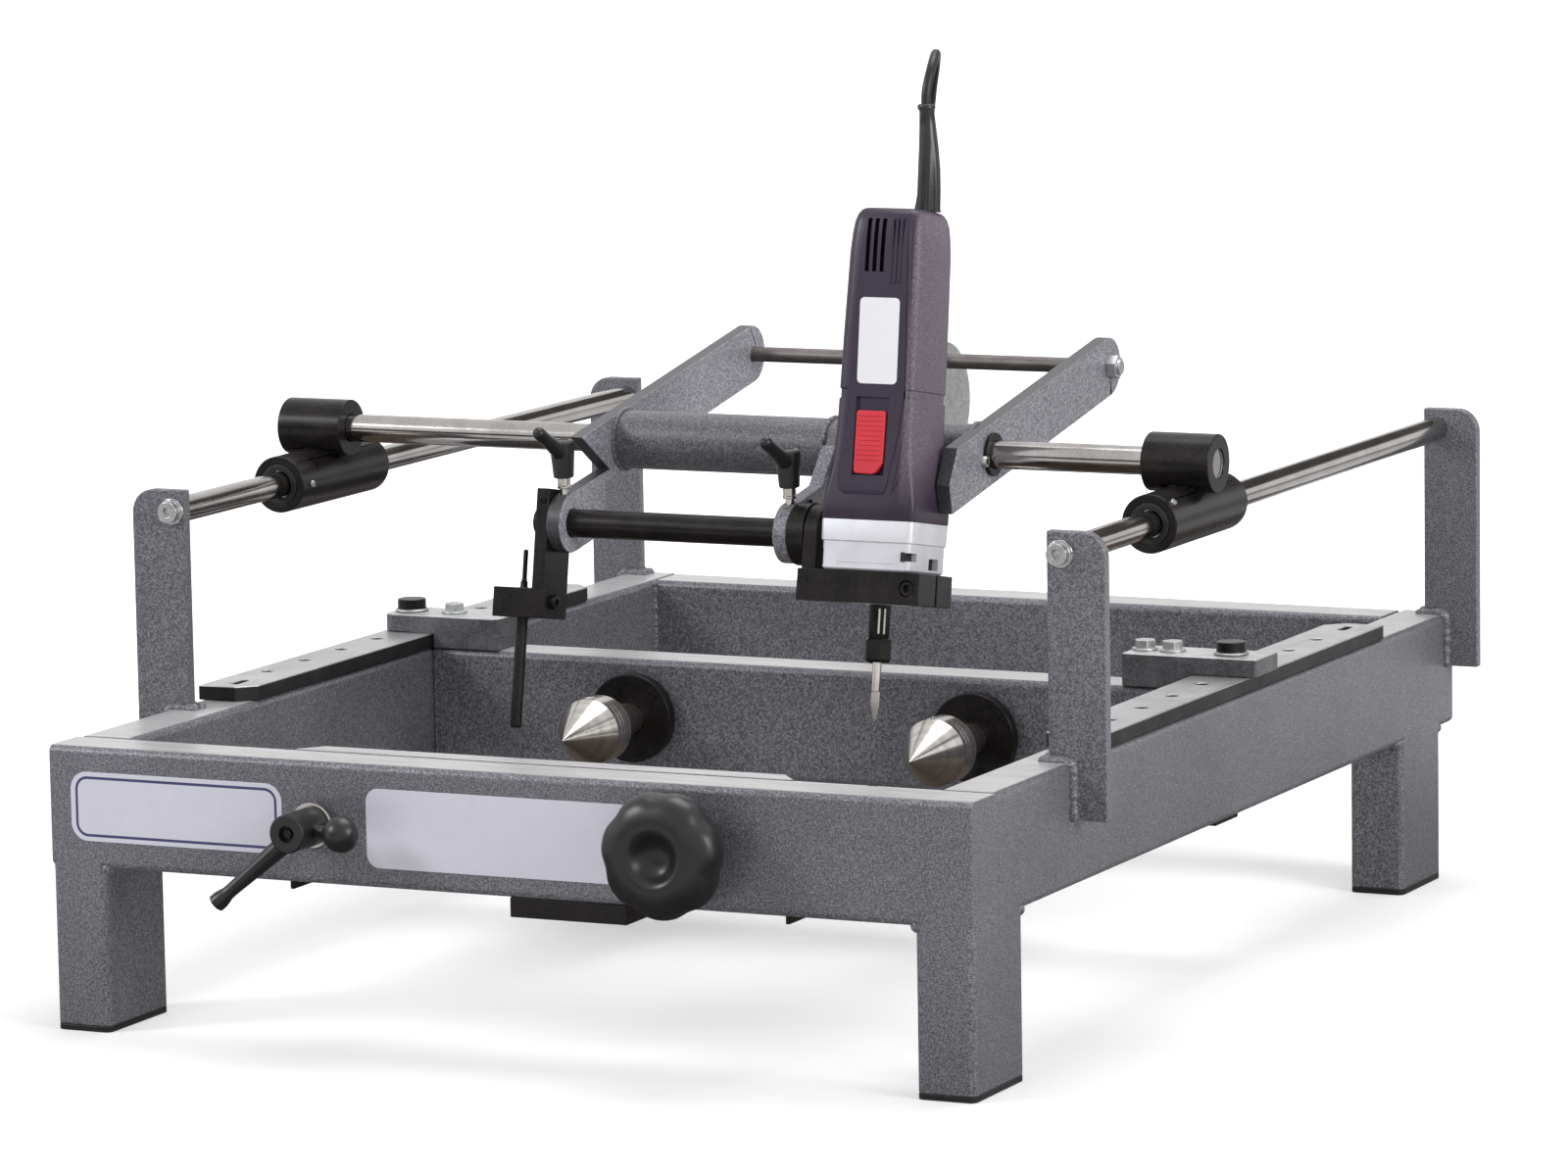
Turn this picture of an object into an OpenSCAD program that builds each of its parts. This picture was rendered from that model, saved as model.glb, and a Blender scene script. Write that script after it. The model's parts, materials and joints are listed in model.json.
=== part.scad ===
// Duplicating milling machine: welded frame, cross carriage, tilting yoke with a stylus and a
// milling motor, and two pairs of centres that hold the pattern and the workpiece.
// Millimetres, +Z up, front at -Y. The origin is on the floor, at the middle of the outline.

/* [Frame] */
// Width of the frame over its side beams
frame_w = 658; // [600:1:740]
// Depth of the frame from the front beam to the end of the side beams
frame_d = 851; // [800:1:950]
// Height of the top of the beams
frame_h = 189; // [170:1:230]
// Height of the beam section
beam_h = 80; // [70:1:90]
// Width of the beam section
beam_t = 40; // [36:1:46]
// Wall of the beam section
beam_wall = 3; // [2:0.5:5]
// Outer corner radius of the beam section
beam_r = 5; // [3:0.5:8]
// Depth of a leg
leg_d = 77; // [60:1:90]
// Distance of the rear legs from the end of the side beams
leg_inset = 26; // [10:1:60]
// Thickness of the foot caps
cap_t = 4; // [2:0.5:8]

/* [Posts and slide rods] */
// Height of the posts above the beams
post_rise = 148; // [140:1:170]
// Width of a post
post_w = 40; // [36:1:50]
// Thickness of a post
post_t = 8; // [6:1:12]
// Distance from the inner edge of a post to the inner face of its beam
post_inset = 24; // [20:1:28]
// Length of the tab that hangs down outside the beam
post_tab = 37; // [20:1:50]
// Distance from the front of the frame to the front posts
post_front = 157; // [120:1:190]
// Distance from the rear end of the side beams to the rear posts
post_rear = 7; // [4:1:40]
// Diameter of the slide rods
slide_rod_d = 17.5; // [16:0.5:20]
// Height of the slide rods above the beams
slide_rod_rise = 133.5; // [118:0.5:136]
// Distance of the slide rods from the outer faces of the frame
slide_rod_inset = 6.5; // [3:0.5:10]

/* [Index strips and headstock] */
// Thickness of the index strips
strip_t = 10; // [8:1:14]
// Start of the index strips, behind the front of the frame
strip_start = 197; // [185:1:230]
// Length of the index strips
strip_len = 515; // [480:1:560]
// Pitch of the locating holes
hole_pitch = 52.4; // [45:0.1:56]
// Number of locating holes in a strip
hole_count = 8; // [6:1:9]
// Locating hole diameter
hole_d = 9; // [7:0.5:11]
// Distance from the front of the frame to the headstock beam
headstock_y = 457; // [420:1:500]
// Number of the hole that holds the locating pin, counted from the front
pin_hole = 5; // [4:1:6]
// Distance between the two work axes
axis_gap = 260; // [220:1:300]
// Depth of the work axes below the top of the beams
axis_drop = 40.5; // [37:0.5:43]
// Diameter of the live centres
centre_d = 46; // [38:1:50]
// Length of the straight part of a live centre
centre_land = 20; // [10:1:26]
// Diameter of the live centre shafts
centre_shaft_d = 22; // [18:1:24]
// How far the bare shaft shows between the flange and the centre
centre_reach = 43; // [30:1:50]
// Diameter of the bearing flanges
flange_d = 62; // [56:1:66]
// Thickness of the bearing flanges
flange_t = 9; // [6:1:12]
// Length of the clamp plates
clamp_plate_len = 92; // [84:1:100]
// Thickness of the clamp plates
clamp_plate_t = 12; // [8:1:14]
// Thickness of the guide plates under the side beams
guide_plate_t = 12; // [8:1:14]

/* [Tailstock] */
// Diameter of the tail quill
quill_d = 18; // [16:0.5:19]
// Diameter of the tail screw
screw_d = 16; // [14:0.5:18]
// How far the tail centres reach behind the front of the frame
tail_reach = 112; // [108:1:125]
// Diameter of the star knob
knob_d = 82; // [70:1:90]
// Number of lobes of the star knob
knob_lobes = 7; // [5:1:9]
// Thickness of the star knob
knob_t = 26; // [20:1:32]
// How far the star knob stands out in front of the frame
knob_reach = 44; // [42:1:60]

/* [Cross carriage] */
// Distance from the front of the frame to the cross rod
cross_y = 365; // [340:1:380]
// Height of the cross rod above the slide rods
cross_rise = 33; // [30.5:0.5:35.5]
// Diameter of the cross rod
cross_rod_d = 19; // [18:0.5:20]
// Length of the slider bearing tubes
slider_len = 124; // [110:1:130]
// Outer diameter of the slider tubes
slider_d = 39; // [37:0.5:42]
// Length of the tube that holds the cross rod
rod_holder_len = 48; // [40:1:54]
// Outer diameter of the slide bushings
bushing_d = 28; // [26:1:30]
// Running clearance of rods and bushings
fit = 0.05; // [0.02:0.01:0.1]

/* [Yoke] */
// Tilt of the yoke in this position, its rear end up
yoke_tilt = 10.2; // [4:0.1:14]
// Left face of the left arm
yoke_left = -97; // [-99:0.5:-96]
// Right face of the right arm
yoke_right = 184.5; // [184.5:0.5:187]
// Thickness of the arms
arm_t = 10; // [9:0.5:10]
// Width of the arms
arm_w = 40; // [38:1:42]
// Distance from the cross rod to the rear rod
rear_reach = 205; // [190:1:230]
// Distance of the tool bar in front of the cross rod, along the arm
bar_forward = 88; // [84:1:92]
// Distance of the tool bar under the cross rod, square to the arm
bar_drop = 32; // [30:1:34]
// Diameter of the hub tube
hub_d = 39.5; // [38:0.5:40]
// Diameter of the rear rod
rear_rod_d = 10.5; // [8:0.5:12]
// Diameter of the counterweight
weight_d = 86; // [70:1:90]
// Thickness of the counterweight
weight_t = 30; // [20:1:36]

/* [Tool bar, stylus and motor] */
// Tilt of the tools in this position, their tops to the rear
tool_tilt = 10; // [6:0.5:12]
// Diameter of the tool bar
bar_d = 19; // [18:0.5:20]
// Depth of the stylus holder
holder_w = 35; // [30:1:38]
// Diameter of the stylus
stylus_d = 8; // [6:0.5:10]
// How far the tip of the stylus lies below the tool bar
stylus_reach = 139; // [125:1:139]
// Distance from the stylus to the milling spindle
tool_gap = 262; // [260:0.5:262]
// Diameter of the motor's collar
collar_d = 43; // [40:0.5:43]
// Height of the clamp block on the collar
block_h = 21; // [18:1:24]
// Length of the motor housing above the nose
housing_len = 205; // [190:1:210]
// How far the tip of the cutter lies below the tool bar
cutter_reach = 122; // [112:1:122]
// Diameter of the cutter shank
shank_d = 6; // [4:0.5:8]

/* [Power cord] */
// Diameter of the cord
cord_d = 6.5; // [5:0.5:7]
// Outer radius of the coil, to the middle of the cord
coil_r = 48; // [46:1:50]
// Turns in one layer of the coil
layer_turns = 3; // [3:1:3]

/* [Hidden] */
$fn = 64;
soft_gap = 0.3;
cord_gap = 0.6;
slack = 0.02;

half_w = frame_w / 2;
front_y = -(frame_d - knob_reach) / 2;
rear_y = front_y + frame_d;
beam_bottom = frame_h - beam_h;
post_top = frame_h + post_rise;
slide_rod_z = frame_h + slide_rod_rise;
cross_z = slide_rod_z + cross_rise;
axis_z = frame_h - axis_drop;
beam_mid_z = beam_bottom + beam_h / 2;
inner_x = half_w - beam_t;
beam_x = half_w - beam_t / 2;
foot_spigot = 12;

post_inner_x = inner_x + post_inset;
post_outer_x = post_inner_x + post_w;
post_round = 16;
front_post_y = front_y + post_front;
rear_post_y = rear_y - post_rear - post_t;
rod_x = half_w - slide_rod_inset;
rod_start = front_post_y + post_t;
rod_end = rear_post_y;
rod_bolt_d = 8;
rod_bolt_depth = 16;
rod_bolt_head_d = 14.5;
rod_bolt_head_h = 5.4;
washer_t = 1.6;

strip_y = front_y + strip_start;
strip_end = strip_y + strip_len;
strip_top = frame_h + strip_t;
strip_chamfer = 12;
end_slot_len = 20;
end_slot_w = 6;
end_slot_inset = 22;
left_hole_shift = 6;
beam_y = front_y + headstock_y;
beam_mid_y = beam_y + beam_t / 2;
first_hole_y = beam_mid_y - hole_pitch * (pin_hole - 1);
headstock_half = inner_x - soft_gap;

plate_gap = 0.4;
plate_z = strip_top + plate_gap;
plate_top = plate_z + clamp_plate_t;
left_plate_over = -1;
right_plate_over = 6;
plate_inner_x = half_w - clamp_plate_len;
guide_reach = inner_x + 16;
pin_play = 0.05;
pin_head_d = 20;
pin_head_h = 7;
hex_bolt_d = 8;
hex_head_d = 15;
hex_head_h = 5.5;
left_bolt_inset = 48;
left_bolt_x = half_w - left_bolt_inset;
right_bolt_inset = 82.5;
right_bolt_gap = 20;
right_bolt_xs = [half_w - right_bolt_inset, half_w - right_bolt_inset + right_bolt_gap];

axis_x = axis_gap / 2;
centre_cone = centre_d / 2 / tan(30);
flange_front_y = beam_y - flange_t;
centre_rear_y = flange_front_y - centre_reach;
bearing_d = 35;
pulley_gap = 3;
pulley_d = 52;
pulley_w = 14;
pulley_y = beam_y + beam_t + pulley_gap;
belt_w = 10;
belt_t = 4;
flange_screw_d = 5;
flange_screw_r = 24;

bush_d = 24;
tail_bush_flange = 3;
rail_t = 17;
rail_left = -168;
rail_right = 190;
rail_chamfer = 14;
tail_rear_y = front_y + beam_t + rail_t + tail_bush_flange;
tail_tip_y = front_y + tail_reach;
knob_front_y = front_y - knob_reach;
quill_front_y = front_y - 5;
quill_neck_len = 31;
quill_end_y = quill_front_y - quill_neck_len;
quill_neck_d = 10;
lever_hub_d = 25;
lever_hub_len = 37;
lever_socket = 3;
ball_d = 24;
lever_tip = [-50, -11, -44];
lever_arm_d = [13, 9];
lever_end_d = [12, 11];
lever_end_share = 1.13;
ball_at = [33, -6, 0];
screw_end_d = 11;
screw_end_len = 10;
screw_bare = 22;
tail_centre_d = 23;
knob_bore_start = 12;
knob_hub_len = knob_t + 6;
knob_hub_d = 34;
knob_lobe_d = 26;
knob_waist_d = knob_d - 18;
knob_cup_d = 32;
knob_cup_depth = 7;
under_block = [83, 34, 13];
under_block_x = 6;
under_tab = [3, 26, 6];
under_tab_xs = [-154.5, 198.7];
label_t = 0.6;
left_label_short = 42;
left_label_size = [half_w - axis_x - left_label_short, 45.8];
left_label_at = [16 - half_w, 0.9];
right_label_short = 48.5;
right_label_size = [axis_gap - right_label_short, 51.6];
right_label_start = 35.5;
right_label_at = [right_label_start - axis_x, -0.8];

cross_abs_y = front_y + cross_y;
slider_front = cross_abs_y - slider_len / 2;
slide_bushing_len = 37;
hub_bushing_len = 42;
hub_bushing_d = 31;
rod_half = rod_x + rod_holder_len / 2 - 1.5;

left_arm_in = yoke_left + arm_t;
right_arm_in = yoke_right - arm_t;
middle_left = 70;
arm_r = arm_w / 2;
limb_rear = 34;
arm_front = 62.6;
notch_front = arm_r + 7;
right_arm_front = 70;
seal_d = 29;
seal_t = 3;
nut_d = 17;
nut_t = 7;
weight_right = 58.5;
weight_drop = 30.5;
weight_play = 0.08;
lever_lean = 6;
stud_d = 6;
stud_base = arm_r - 4;
stud_hole_len = 20;
grip_z = arm_r + 4;
neck_len = 8;
neck_d = 10;
grip_len = 24;
grip_d = 17;
grip_base_d = 14;
grip_arm_len = 42;
grip_arm_d = 8;
grip_arm_rise = 32;

bar_y = cross_abs_y - bar_forward * cos(yoke_tilt) + bar_drop * sin(yoke_tilt);
bar_z = cross_z - bar_forward * sin(yoke_tilt) - bar_drop * cos(yoke_tilt);
bar_left = -112.5;
holder_t = 9;
holder_right = yoke_left - soft_gap;
holder_left = holder_right - holder_t;
holder_top = 22;
holder_bottom = -65;
stylus_x = -121;
stylus_block_left = -135;
stylus_block_h = 20;
stylus_pin_d = 3.3;
stylus_step_d = 5;
stylus_step_top = -40;
stylus_pin_top = -19;
bar_collar_d = 42;
bar_collar_t = 12;
bar_collar_left = middle_left + arm_t + soft_gap;
plate_left = bar_collar_left + bar_collar_t + soft_gap;
plate_t = 10;
plate_right = plate_left + plate_t;
bar_right = plate_right;
motor_x = stylus_x + tool_gap;
motor_off = 3;
block_reach = 39.5;
block_right = motor_x + block_reach;
block_front = -29;
block_rear = 25;
block_top = -23;
block_bottom = block_top - block_h;
split_w = 2.5;
clamp_screw_len = 40;
clamp_screw_d = 6;
nose_w = 66;
nose_depth = 60;
nose_bottom = block_top + soft_gap;
nose_top = 10.5;
nose_r = 6;
housing_top = nose_top + housing_len;
housing_w = 55;
housing_depth = 56;
housing_r = 8;
flare_h = 22;
shoulder_h = 78;
crown_h = 30;
spindle_d = 14;
spindle_bottom = -66;
spindle_top = nose_bottom + 14;
spindle_bore_d = 20;
bearing_len = 20;
collet_nut_d = 17;
collet_nut_top = -67;
collet_nut_bottom = -82;
switch_off = -1;
switch_travel = 8;
switch_proud = 3;
switch_sunk = 3;
switch_ribs = 6;
switch_w = 21;
switch_bottom = 40;
switch_len = 42;
boot_x = 155;
boot_off = 12;
boot_len = 71;
boot_foot = 3;
boot_collar_h = 8;
boot_lean_x = -2.5;
boot_lean_y = -8;
boot_base_d = 15.6;
boot_tip_d = 8.5;

// The route of the cord in this position, from the boot over the rear rod to the floor
motor_points = [
  [152.5, 337.5, 588], [152.5, 338.5, 597.5], [153, 342, 606.5], [152.5, 348.5, 614.5],
  [150, 358, 619.5], [146, 369, 620], [141, 380, 616.5], [136, 389, 608], [131.5, 395, 597],
  [127.5, 400, 583], [123.5, 405.5, 568], [119, 412.5, 552], [113, 421.5, 535], [105, 433, 518],
  [95, 447, 501], [83, 464, 484], [70, 483, 467], [54, 506, 446], [35, 534, 421], [20, 556, 406],
  [12, 568, 400.8]
];
yoke_points = [[12, 568, 400.8], [0, 585, 396.5], [-11, 605, 384], [-21, 625, 362], [-29, 641, 335]];
middle_points = [[-29, 641, 335], [-34, 650, 318], [-38, 658, 300], [-41, 664, 284]];
floor_points = [
  [-41, 664, 284], [-45, 673, 260], [-49, 682, 230], [-54, 691, 190], [-59, 699, 150],
  [-64, 708, 110], [-69, 719, 76], [-75, 731, 48], [-80, 744, 24], [-83, 755, 11], [-84, 767, 4.5],
  [-84, 780, 3.3]
];
route_cross_z = 355.5;
route_lift = cross_z - route_cross_z;
hang_z = 284;
coil_centre = [-36, 790];
coil_gap = 0.5;
coil_pitch = cord_d + coil_gap;
coil_turns = 2 * layer_turns + 0.5;
coil_steps = 24;
coil_lead = 10;
coil_tail = 36;
plug_len = 44;
plug_w = 34;
plug_pin_d = 4.8;
plug_pin_len = 19;
plug_pin_gap = 19;
plug_sleeve_len = 16;
plug_sleeve_d = 13;
tie_w = 8;
tie_t = 1.2;

// A rectangle with round corners, centred
module round_rect(w, h, r) {
  square([w - 2 * r, h], center = true);
  square([w, h - 2 * r], center = true);
  for (sx = [-1, 1], sy = [-1, 1])
    translate([sx * (w / 2 - r), sy * (h / 2 - r)]) circle(r = r);
}

// A beam section along X from x = 0, with an end cap where one is asked for
module beam_along_x(len, start_cap, end_cap) {
  rotate([90, 0, 90]) difference() {
    linear_extrude(len) round_rect(beam_t, beam_h, beam_r);
    translate([0, 0, start_cap]) linear_extrude(len - start_cap - end_cap)
      round_rect(beam_t - 2 * beam_wall, beam_h - 2 * beam_wall, beam_r - beam_wall + 1);
  }
}

module rod_along_x(x0, x1, d) {
  translate([x0, 0, 0]) rotate([0, 90, 0]) cylinder(h = x1 - x0, d = d);
}

module rod_along_y(y0, y1, d) {
  translate([0, y0, 0]) rotate([-90, 0, 0]) cylinder(h = y1 - y0, d = d);
}

// A flat plate whose outline lies in the Y-Z plane, from x0 to x1
module plate_along_x(x0, x1) {
  translate([x0, 0, 0]) rotate([90, 0, 90]) linear_extrude(x1 - x0) children();
}

module in_yoke() {
  translate([0, cross_abs_y, cross_z]) rotate([yoke_tilt, 0, 0]) children();
}

module in_tools() {
  translate([0, bar_y, bar_z]) rotate([-tool_tilt, 0, 0]) children();
}

module at_motor() {
  in_tools() translate([motor_x, motor_off, 0]) children();
}

// Frame
module front_beam() {
  color("slategray") difference() {
    translate([-half_w, front_y + beam_t / 2, beam_mid_z]) beam_along_x(frame_w, beam_wall, beam_wall);
    for (s = [-1, 1]) translate([s * axis_x, 0, axis_z])
      rod_along_y(front_y - 1, front_y + beam_t + 1, bush_d + 2 * fit);
  }
}

module rear_beam() {
  color("slategray") translate([-inner_x, rear_y - beam_t / 2, beam_mid_z])
    beam_along_x(2 * inner_x, -1, -1);
}

module side_beams() {
  color("slategray") for (s = [-1, 1]) translate([s * beam_x, front_y + beam_t, beam_mid_z])
    rotate([0, 0, 90]) beam_along_x(frame_d - beam_t, -1, beam_wall);
}

module at_legs() {
  for (s = [-1, 1], y = [front_y, rear_y - leg_inset - leg_d])
    translate([s * beam_x, y + leg_d / 2, 0]) children();
}

module legs() {
  color("slategray") at_legs() translate([0, 0, cap_t]) difference() {
    linear_extrude(beam_bottom - cap_t) round_rect(beam_t, leg_d, beam_r);
    translate([0, 0, -1]) linear_extrude(beam_bottom - cap_t - beam_wall + 1)
      round_rect(beam_t - 2 * beam_wall, leg_d - 2 * beam_wall, beam_r - beam_wall + 1);
  }
}

// A foot cap closes the leg and has a spigot inside it
module foot_caps() {
  w = 2 * (beam_wall + slack);
  color("black") at_legs() {
    linear_extrude(cap_t) round_rect(beam_t, leg_d, beam_r);
    linear_extrude(cap_t + foot_spigot) round_rect(beam_t - w, leg_d - w, beam_r - beam_wall + 1 - slack);
  }
}

// A post stands on the beam, and its outer half hangs down beside it
module post(y) {
  difference() {
    translate([0, y + post_t, 0]) rotate([90, 0, 0]) linear_extrude(post_t) union() {
      translate([post_inner_x, frame_h]) square([post_w - post_round, post_top - frame_h]);
      translate([post_inner_x, frame_h]) square([post_w, post_top - frame_h - post_round]);
      translate([post_outer_x - post_round, post_top - post_round]) circle(r = post_round);
      translate([half_w, frame_h - post_tab]) square([post_outer_x - half_w, post_tab + 1]);
    }
    translate([rod_x, 0, slide_rod_z]) rod_along_y(y - 1, y + post_t + 1, rod_bolt_d + 2 * slack);
  }
}

module posts() {
  color("slategray") for (s = [0, 1]) mirror([s, 0, 0]) {
    post(front_post_y);
    post(rear_post_y);
  }
}

// Each slide rod is held between two posts, with a threaded hole in each end
module slide_rods() {
  color("silver") for (s = [-1, 1]) translate([s * rod_x, 0, slide_rod_z]) difference() {
    rod_along_y(rod_start, rod_end, slide_rod_d);
    rod_along_y(rod_start - 1, rod_start + rod_bolt_depth + 2, rod_bolt_d + 2 * slack);
    rod_along_y(rod_end - rod_bolt_depth - 2, rod_end + 1, rod_bolt_d + 2 * slack);
  }
}

// A button head bolt with its washer, its seat at y = 0 and its shank along +Y
module rod_bolt() {
  rotate([-90, 0, 0]) {
    translate([0, 0, -washer_t]) cylinder(h = washer_t, d = 1.25 * rod_bolt_head_d);
    difference() {
      translate([0, 0, -washer_t - rod_bolt_head_h]) cylinder(h = rod_bolt_head_h, d = rod_bolt_head_d);
      translate([0, 0, -washer_t - rod_bolt_head_h - 1]) cylinder(h = 4, d = 7, $fn = 6);
    }
    translate([0, 0, -washer_t]) cylinder(h = washer_t + post_t + rod_bolt_depth, d = rod_bolt_d);
  }
}

module rod_bolts() {
  color("gainsboro") for (s = [-1, 1]) {
    translate([s * rod_x, front_post_y, slide_rod_z]) rod_bolt();
    translate([s * rod_x, rear_post_y + post_t, slide_rod_z]) rotate([0, 0, 180]) rod_bolt();
  }
}

// Index strips on the side beams
function hole_x(side) = side * beam_x - (side < 0 ? left_hole_shift : 0);

module index_strip(side) {
  difference() {
    translate([0, 0, frame_h]) linear_extrude(strip_t) polygon([
      [side * half_w, strip_y], [side * half_w, strip_end],
      [side * (inner_x + strip_chamfer), strip_end], [side * inner_x, strip_end - strip_chamfer],
      [side * inner_x, strip_y + strip_chamfer], [side * (inner_x + strip_chamfer), strip_y]
    ]);
    for (i = [0 : hole_count - 1]) translate([hole_x(side), first_hole_y + i * hole_pitch, frame_h - 1])
      cylinder(h = strip_t + 2, d = hole_d);
    for (y = [strip_y + end_slot_inset, strip_end - end_slot_inset])
      translate([side * beam_x - end_slot_w / 2, y - end_slot_len / 2, frame_h - 1])
        cube([end_slot_w, end_slot_len, strip_t + 2]);
  }
}

module index_strips() {
  color("dimgray") for (side = [-1, 1]) index_strip(side);
}

// Tailstock on the front beam
module tail_rail() {
  color("slategray") difference() {
    translate([0, 0, beam_bottom]) linear_extrude(beam_h) polygon([
      [rail_left, front_y + beam_t], [rail_right, front_y + beam_t],
      [rail_right - rail_chamfer, front_y + beam_t + rail_t],
      [rail_left + rail_chamfer, front_y + beam_t + rail_t]
    ]);
    for (s = [-1, 1]) translate([s * axis_x, 0, axis_z])
      rod_along_y(front_y, front_y + beam_t + rail_t + 1, bush_d + 2 * fit);
  }
}

// A flat pad and two thin tabs under the front beam
module under_beam_fittings() {
  color("#26282a") {
    translate([under_block_x, front_y + 3, beam_bottom - under_block.z]) cube(under_block);
    for (x = under_tab_xs)
      translate([x - under_tab.x / 2, front_y + 8, beam_bottom - under_tab.z]) cube(under_tab);
  }
}

// A thin plate whose left edge and middle height are given
module label_plate(at, size, r) {
  translate([at.x + size.x / 2, front_y, beam_mid_z + at.y]) rotate([90, 0, 0]) linear_extrude(label_t)
    round_rect(size.x, size.y, r);
}

module label_plates() {
  color("white") {
    label_plate(left_label_at, left_label_size, 10);
    difference() {
      label_plate(right_label_at, right_label_size, 6);
      translate([-axis_x, 0, axis_z]) rod_along_y(front_y - 2, front_y + 1, lever_hub_d + 2);
      translate([axis_x, 0, axis_z]) rod_along_y(front_y - 2, front_y + 1, bush_d + 2);
    }
  }
}

module tail_bushes() {
  color("silver") for (s = [-1, 1]) translate([s * axis_x, 0, axis_z]) difference() {
    union() {
      rod_along_y(front_y - 1.5, tail_rear_y - tail_bush_flange, bush_d);
      rod_along_y(tail_rear_y - tail_bush_flange, tail_rear_y, bush_d + 8);
    }
    rod_along_y(front_y - 3, tail_rear_y + 1, (s < 0 ? quill_d : screw_d) + 2 * fit);
  }
}

// The quill slides through its bush and carries a cone at its rear end
module tail_quill() {
  cone = quill_d / 2 / tan(30);
  color("silver") translate([-axis_x, 0, axis_z]) rotate([-90, 0, 0]) rotate_extrude() polygon([
    [0, quill_end_y], [quill_neck_d / 2, quill_end_y],
    [quill_neck_d / 2, quill_front_y], [quill_d / 2, quill_front_y],
    [quill_d / 2, tail_tip_y - cone], [0, tail_tip_y]
  ]);
}

// A tapered round bar from one point to another
module taper(from, to, d1, d2) {
  v = to - from;
  translate(from) rotate([0, acos(v.z / norm(v)), atan2(v.y, v.x)])
    cylinder(h = norm(v), d1 = d1, d2 = d2);
}

// The lever's hub turns on the front end of the quill, with an arm and a ball
module quill_lever() {
  middle = [0, quill_front_y - lever_hub_len / 2, 0];
  color("#1c1d1f") translate([-axis_x, 0, axis_z]) difference() {
    union() {
      rod_along_y(quill_front_y - lever_hub_len, quill_front_y - slack, lever_hub_d);
      taper(middle, middle + lever_tip, lever_arm_d[0], lever_arm_d[1]);
      taper(middle + lever_tip, middle + lever_end_share * lever_tip, lever_end_d[0], lever_end_d[1]);
      taper(middle, middle + ball_at, 9, 9);
      translate(middle + ball_at) sphere(d = ball_d);
    }
    rod_along_y(quill_end_y - soft_gap, quill_front_y + 1, quill_neck_d + 2 * fit);
    translate([0, quill_front_y - lever_hub_len - 1, 0]) rotate([-90, 0, 0])
      cylinder(h = lever_socket + 1, d = 10, $fn = 6);
  }
}

// The screw turns in its bush and pushes the tail centre
module tail_screw() {
  color("silver") translate([axis_x, 0, axis_z]) {
    rod_along_y(knob_front_y + knob_bore_start, tail_rear_y + screw_bare, screw_d);
    rod_along_y(tail_rear_y + screw_bare - 1, tail_rear_y + screw_bare + screw_end_len, screw_end_d);
  }
}

module star_knob() {
  color("#1c1d1f") translate([axis_x, knob_front_y, axis_z]) rotate([-90, 0, 0]) difference() {
    union() {
      cylinder(h = knob_t, d = knob_waist_d);
      for (i = [0 : knob_lobes - 1]) rotate([0, 0, (i + 0.5) * 360 / knob_lobes])
        translate([(knob_d - knob_lobe_d) / 2, 0, 2]) cylinder(h = knob_t - 4, d = knob_lobe_d);
      cylinder(h = knob_hub_len, d = knob_hub_d);
    }
    translate([0, 0, -1]) cylinder(h = knob_cup_depth + 1, d = knob_cup_d);
    translate([0, 0, knob_bore_start]) cylinder(h = knob_reach, d = screw_d + 2 * slack);
  }
}

module tail_centre() {
  cone = tail_centre_d / 2 / tan(30);
  start = tail_rear_y + screw_bare + soft_gap;
  color("silver") translate([axis_x, 0, axis_z]) rotate([-90, 0, 0]) rotate_extrude() polygon([
    [screw_end_d / 2 + fit, start], [tail_centre_d / 2, start],
    [tail_centre_d / 2, tail_tip_y - cone], [0, tail_tip_y],
    [0, start + screw_end_len], [screw_end_d / 2 + fit, start + screw_end_len]
  ]);
}

// Headstock: a beam that slides along the frame on the index strips
module headstock_beam() {
  color("slategray") difference() {
    translate([-headstock_half, beam_mid_y, beam_mid_z])
      beam_along_x(2 * headstock_half, beam_wall, beam_wall);
    for (s = [-1, 1]) translate([s * axis_x, 0, axis_z])
      rod_along_y(beam_y - 1, beam_y + beam_t + 1, bearing_d + 2 * slack);
  }
}

// Each clamp plate lies on a spacer and reaches over the index strip
module clamp_plates() {
  color("silver") for (side = [-1, 1]) {
    outer_x = half_w + (side < 0 ? left_plate_over : right_plate_over);
    difference() {
      translate([side * (plate_inner_x + outer_x) / 2, beam_mid_y, plate_z])
        linear_extrude(clamp_plate_t) round_rect(outer_x - plate_inner_x, beam_t, side < 0 ? 8 : 2);
      translate([hole_x(side), beam_mid_y, plate_z - 1]) cylinder(h = clamp_plate_t + 2, d = hole_d);
      for (x = side < 0 ? [left_bolt_x] : right_bolt_xs) translate([side * x, beam_mid_y, plate_z - 1])
        cylinder(h = clamp_plate_t + 2, d = hex_bolt_d + 2 * slack);
    }
    difference() {
      translate([side * (plate_inner_x + headstock_half) / 2, beam_mid_y, frame_h])
        linear_extrude(plate_z - frame_h) round_rect(headstock_half - plate_inner_x, beam_t, 2);
      for (x = side < 0 ? [left_bolt_x] : right_bolt_xs) translate([side * x, beam_mid_y, frame_h - 1])
        cylinder(h = plate_z, d = hex_bolt_d + 2 * slack);
    }
  }
}

module guide_plates() {
  color("dimgray") for (side = [0, 1]) mirror([side, 0, 0]) difference() {
    translate([plate_inner_x, beam_y, beam_bottom - guide_plate_t])
      cube([guide_reach - plate_inner_x, beam_t, guide_plate_t]);
    translate([headstock_half, beam_y - 1, beam_bottom - plate_gap])
      cube([beam_t, beam_t + 2, 1]);
  }
}

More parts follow.
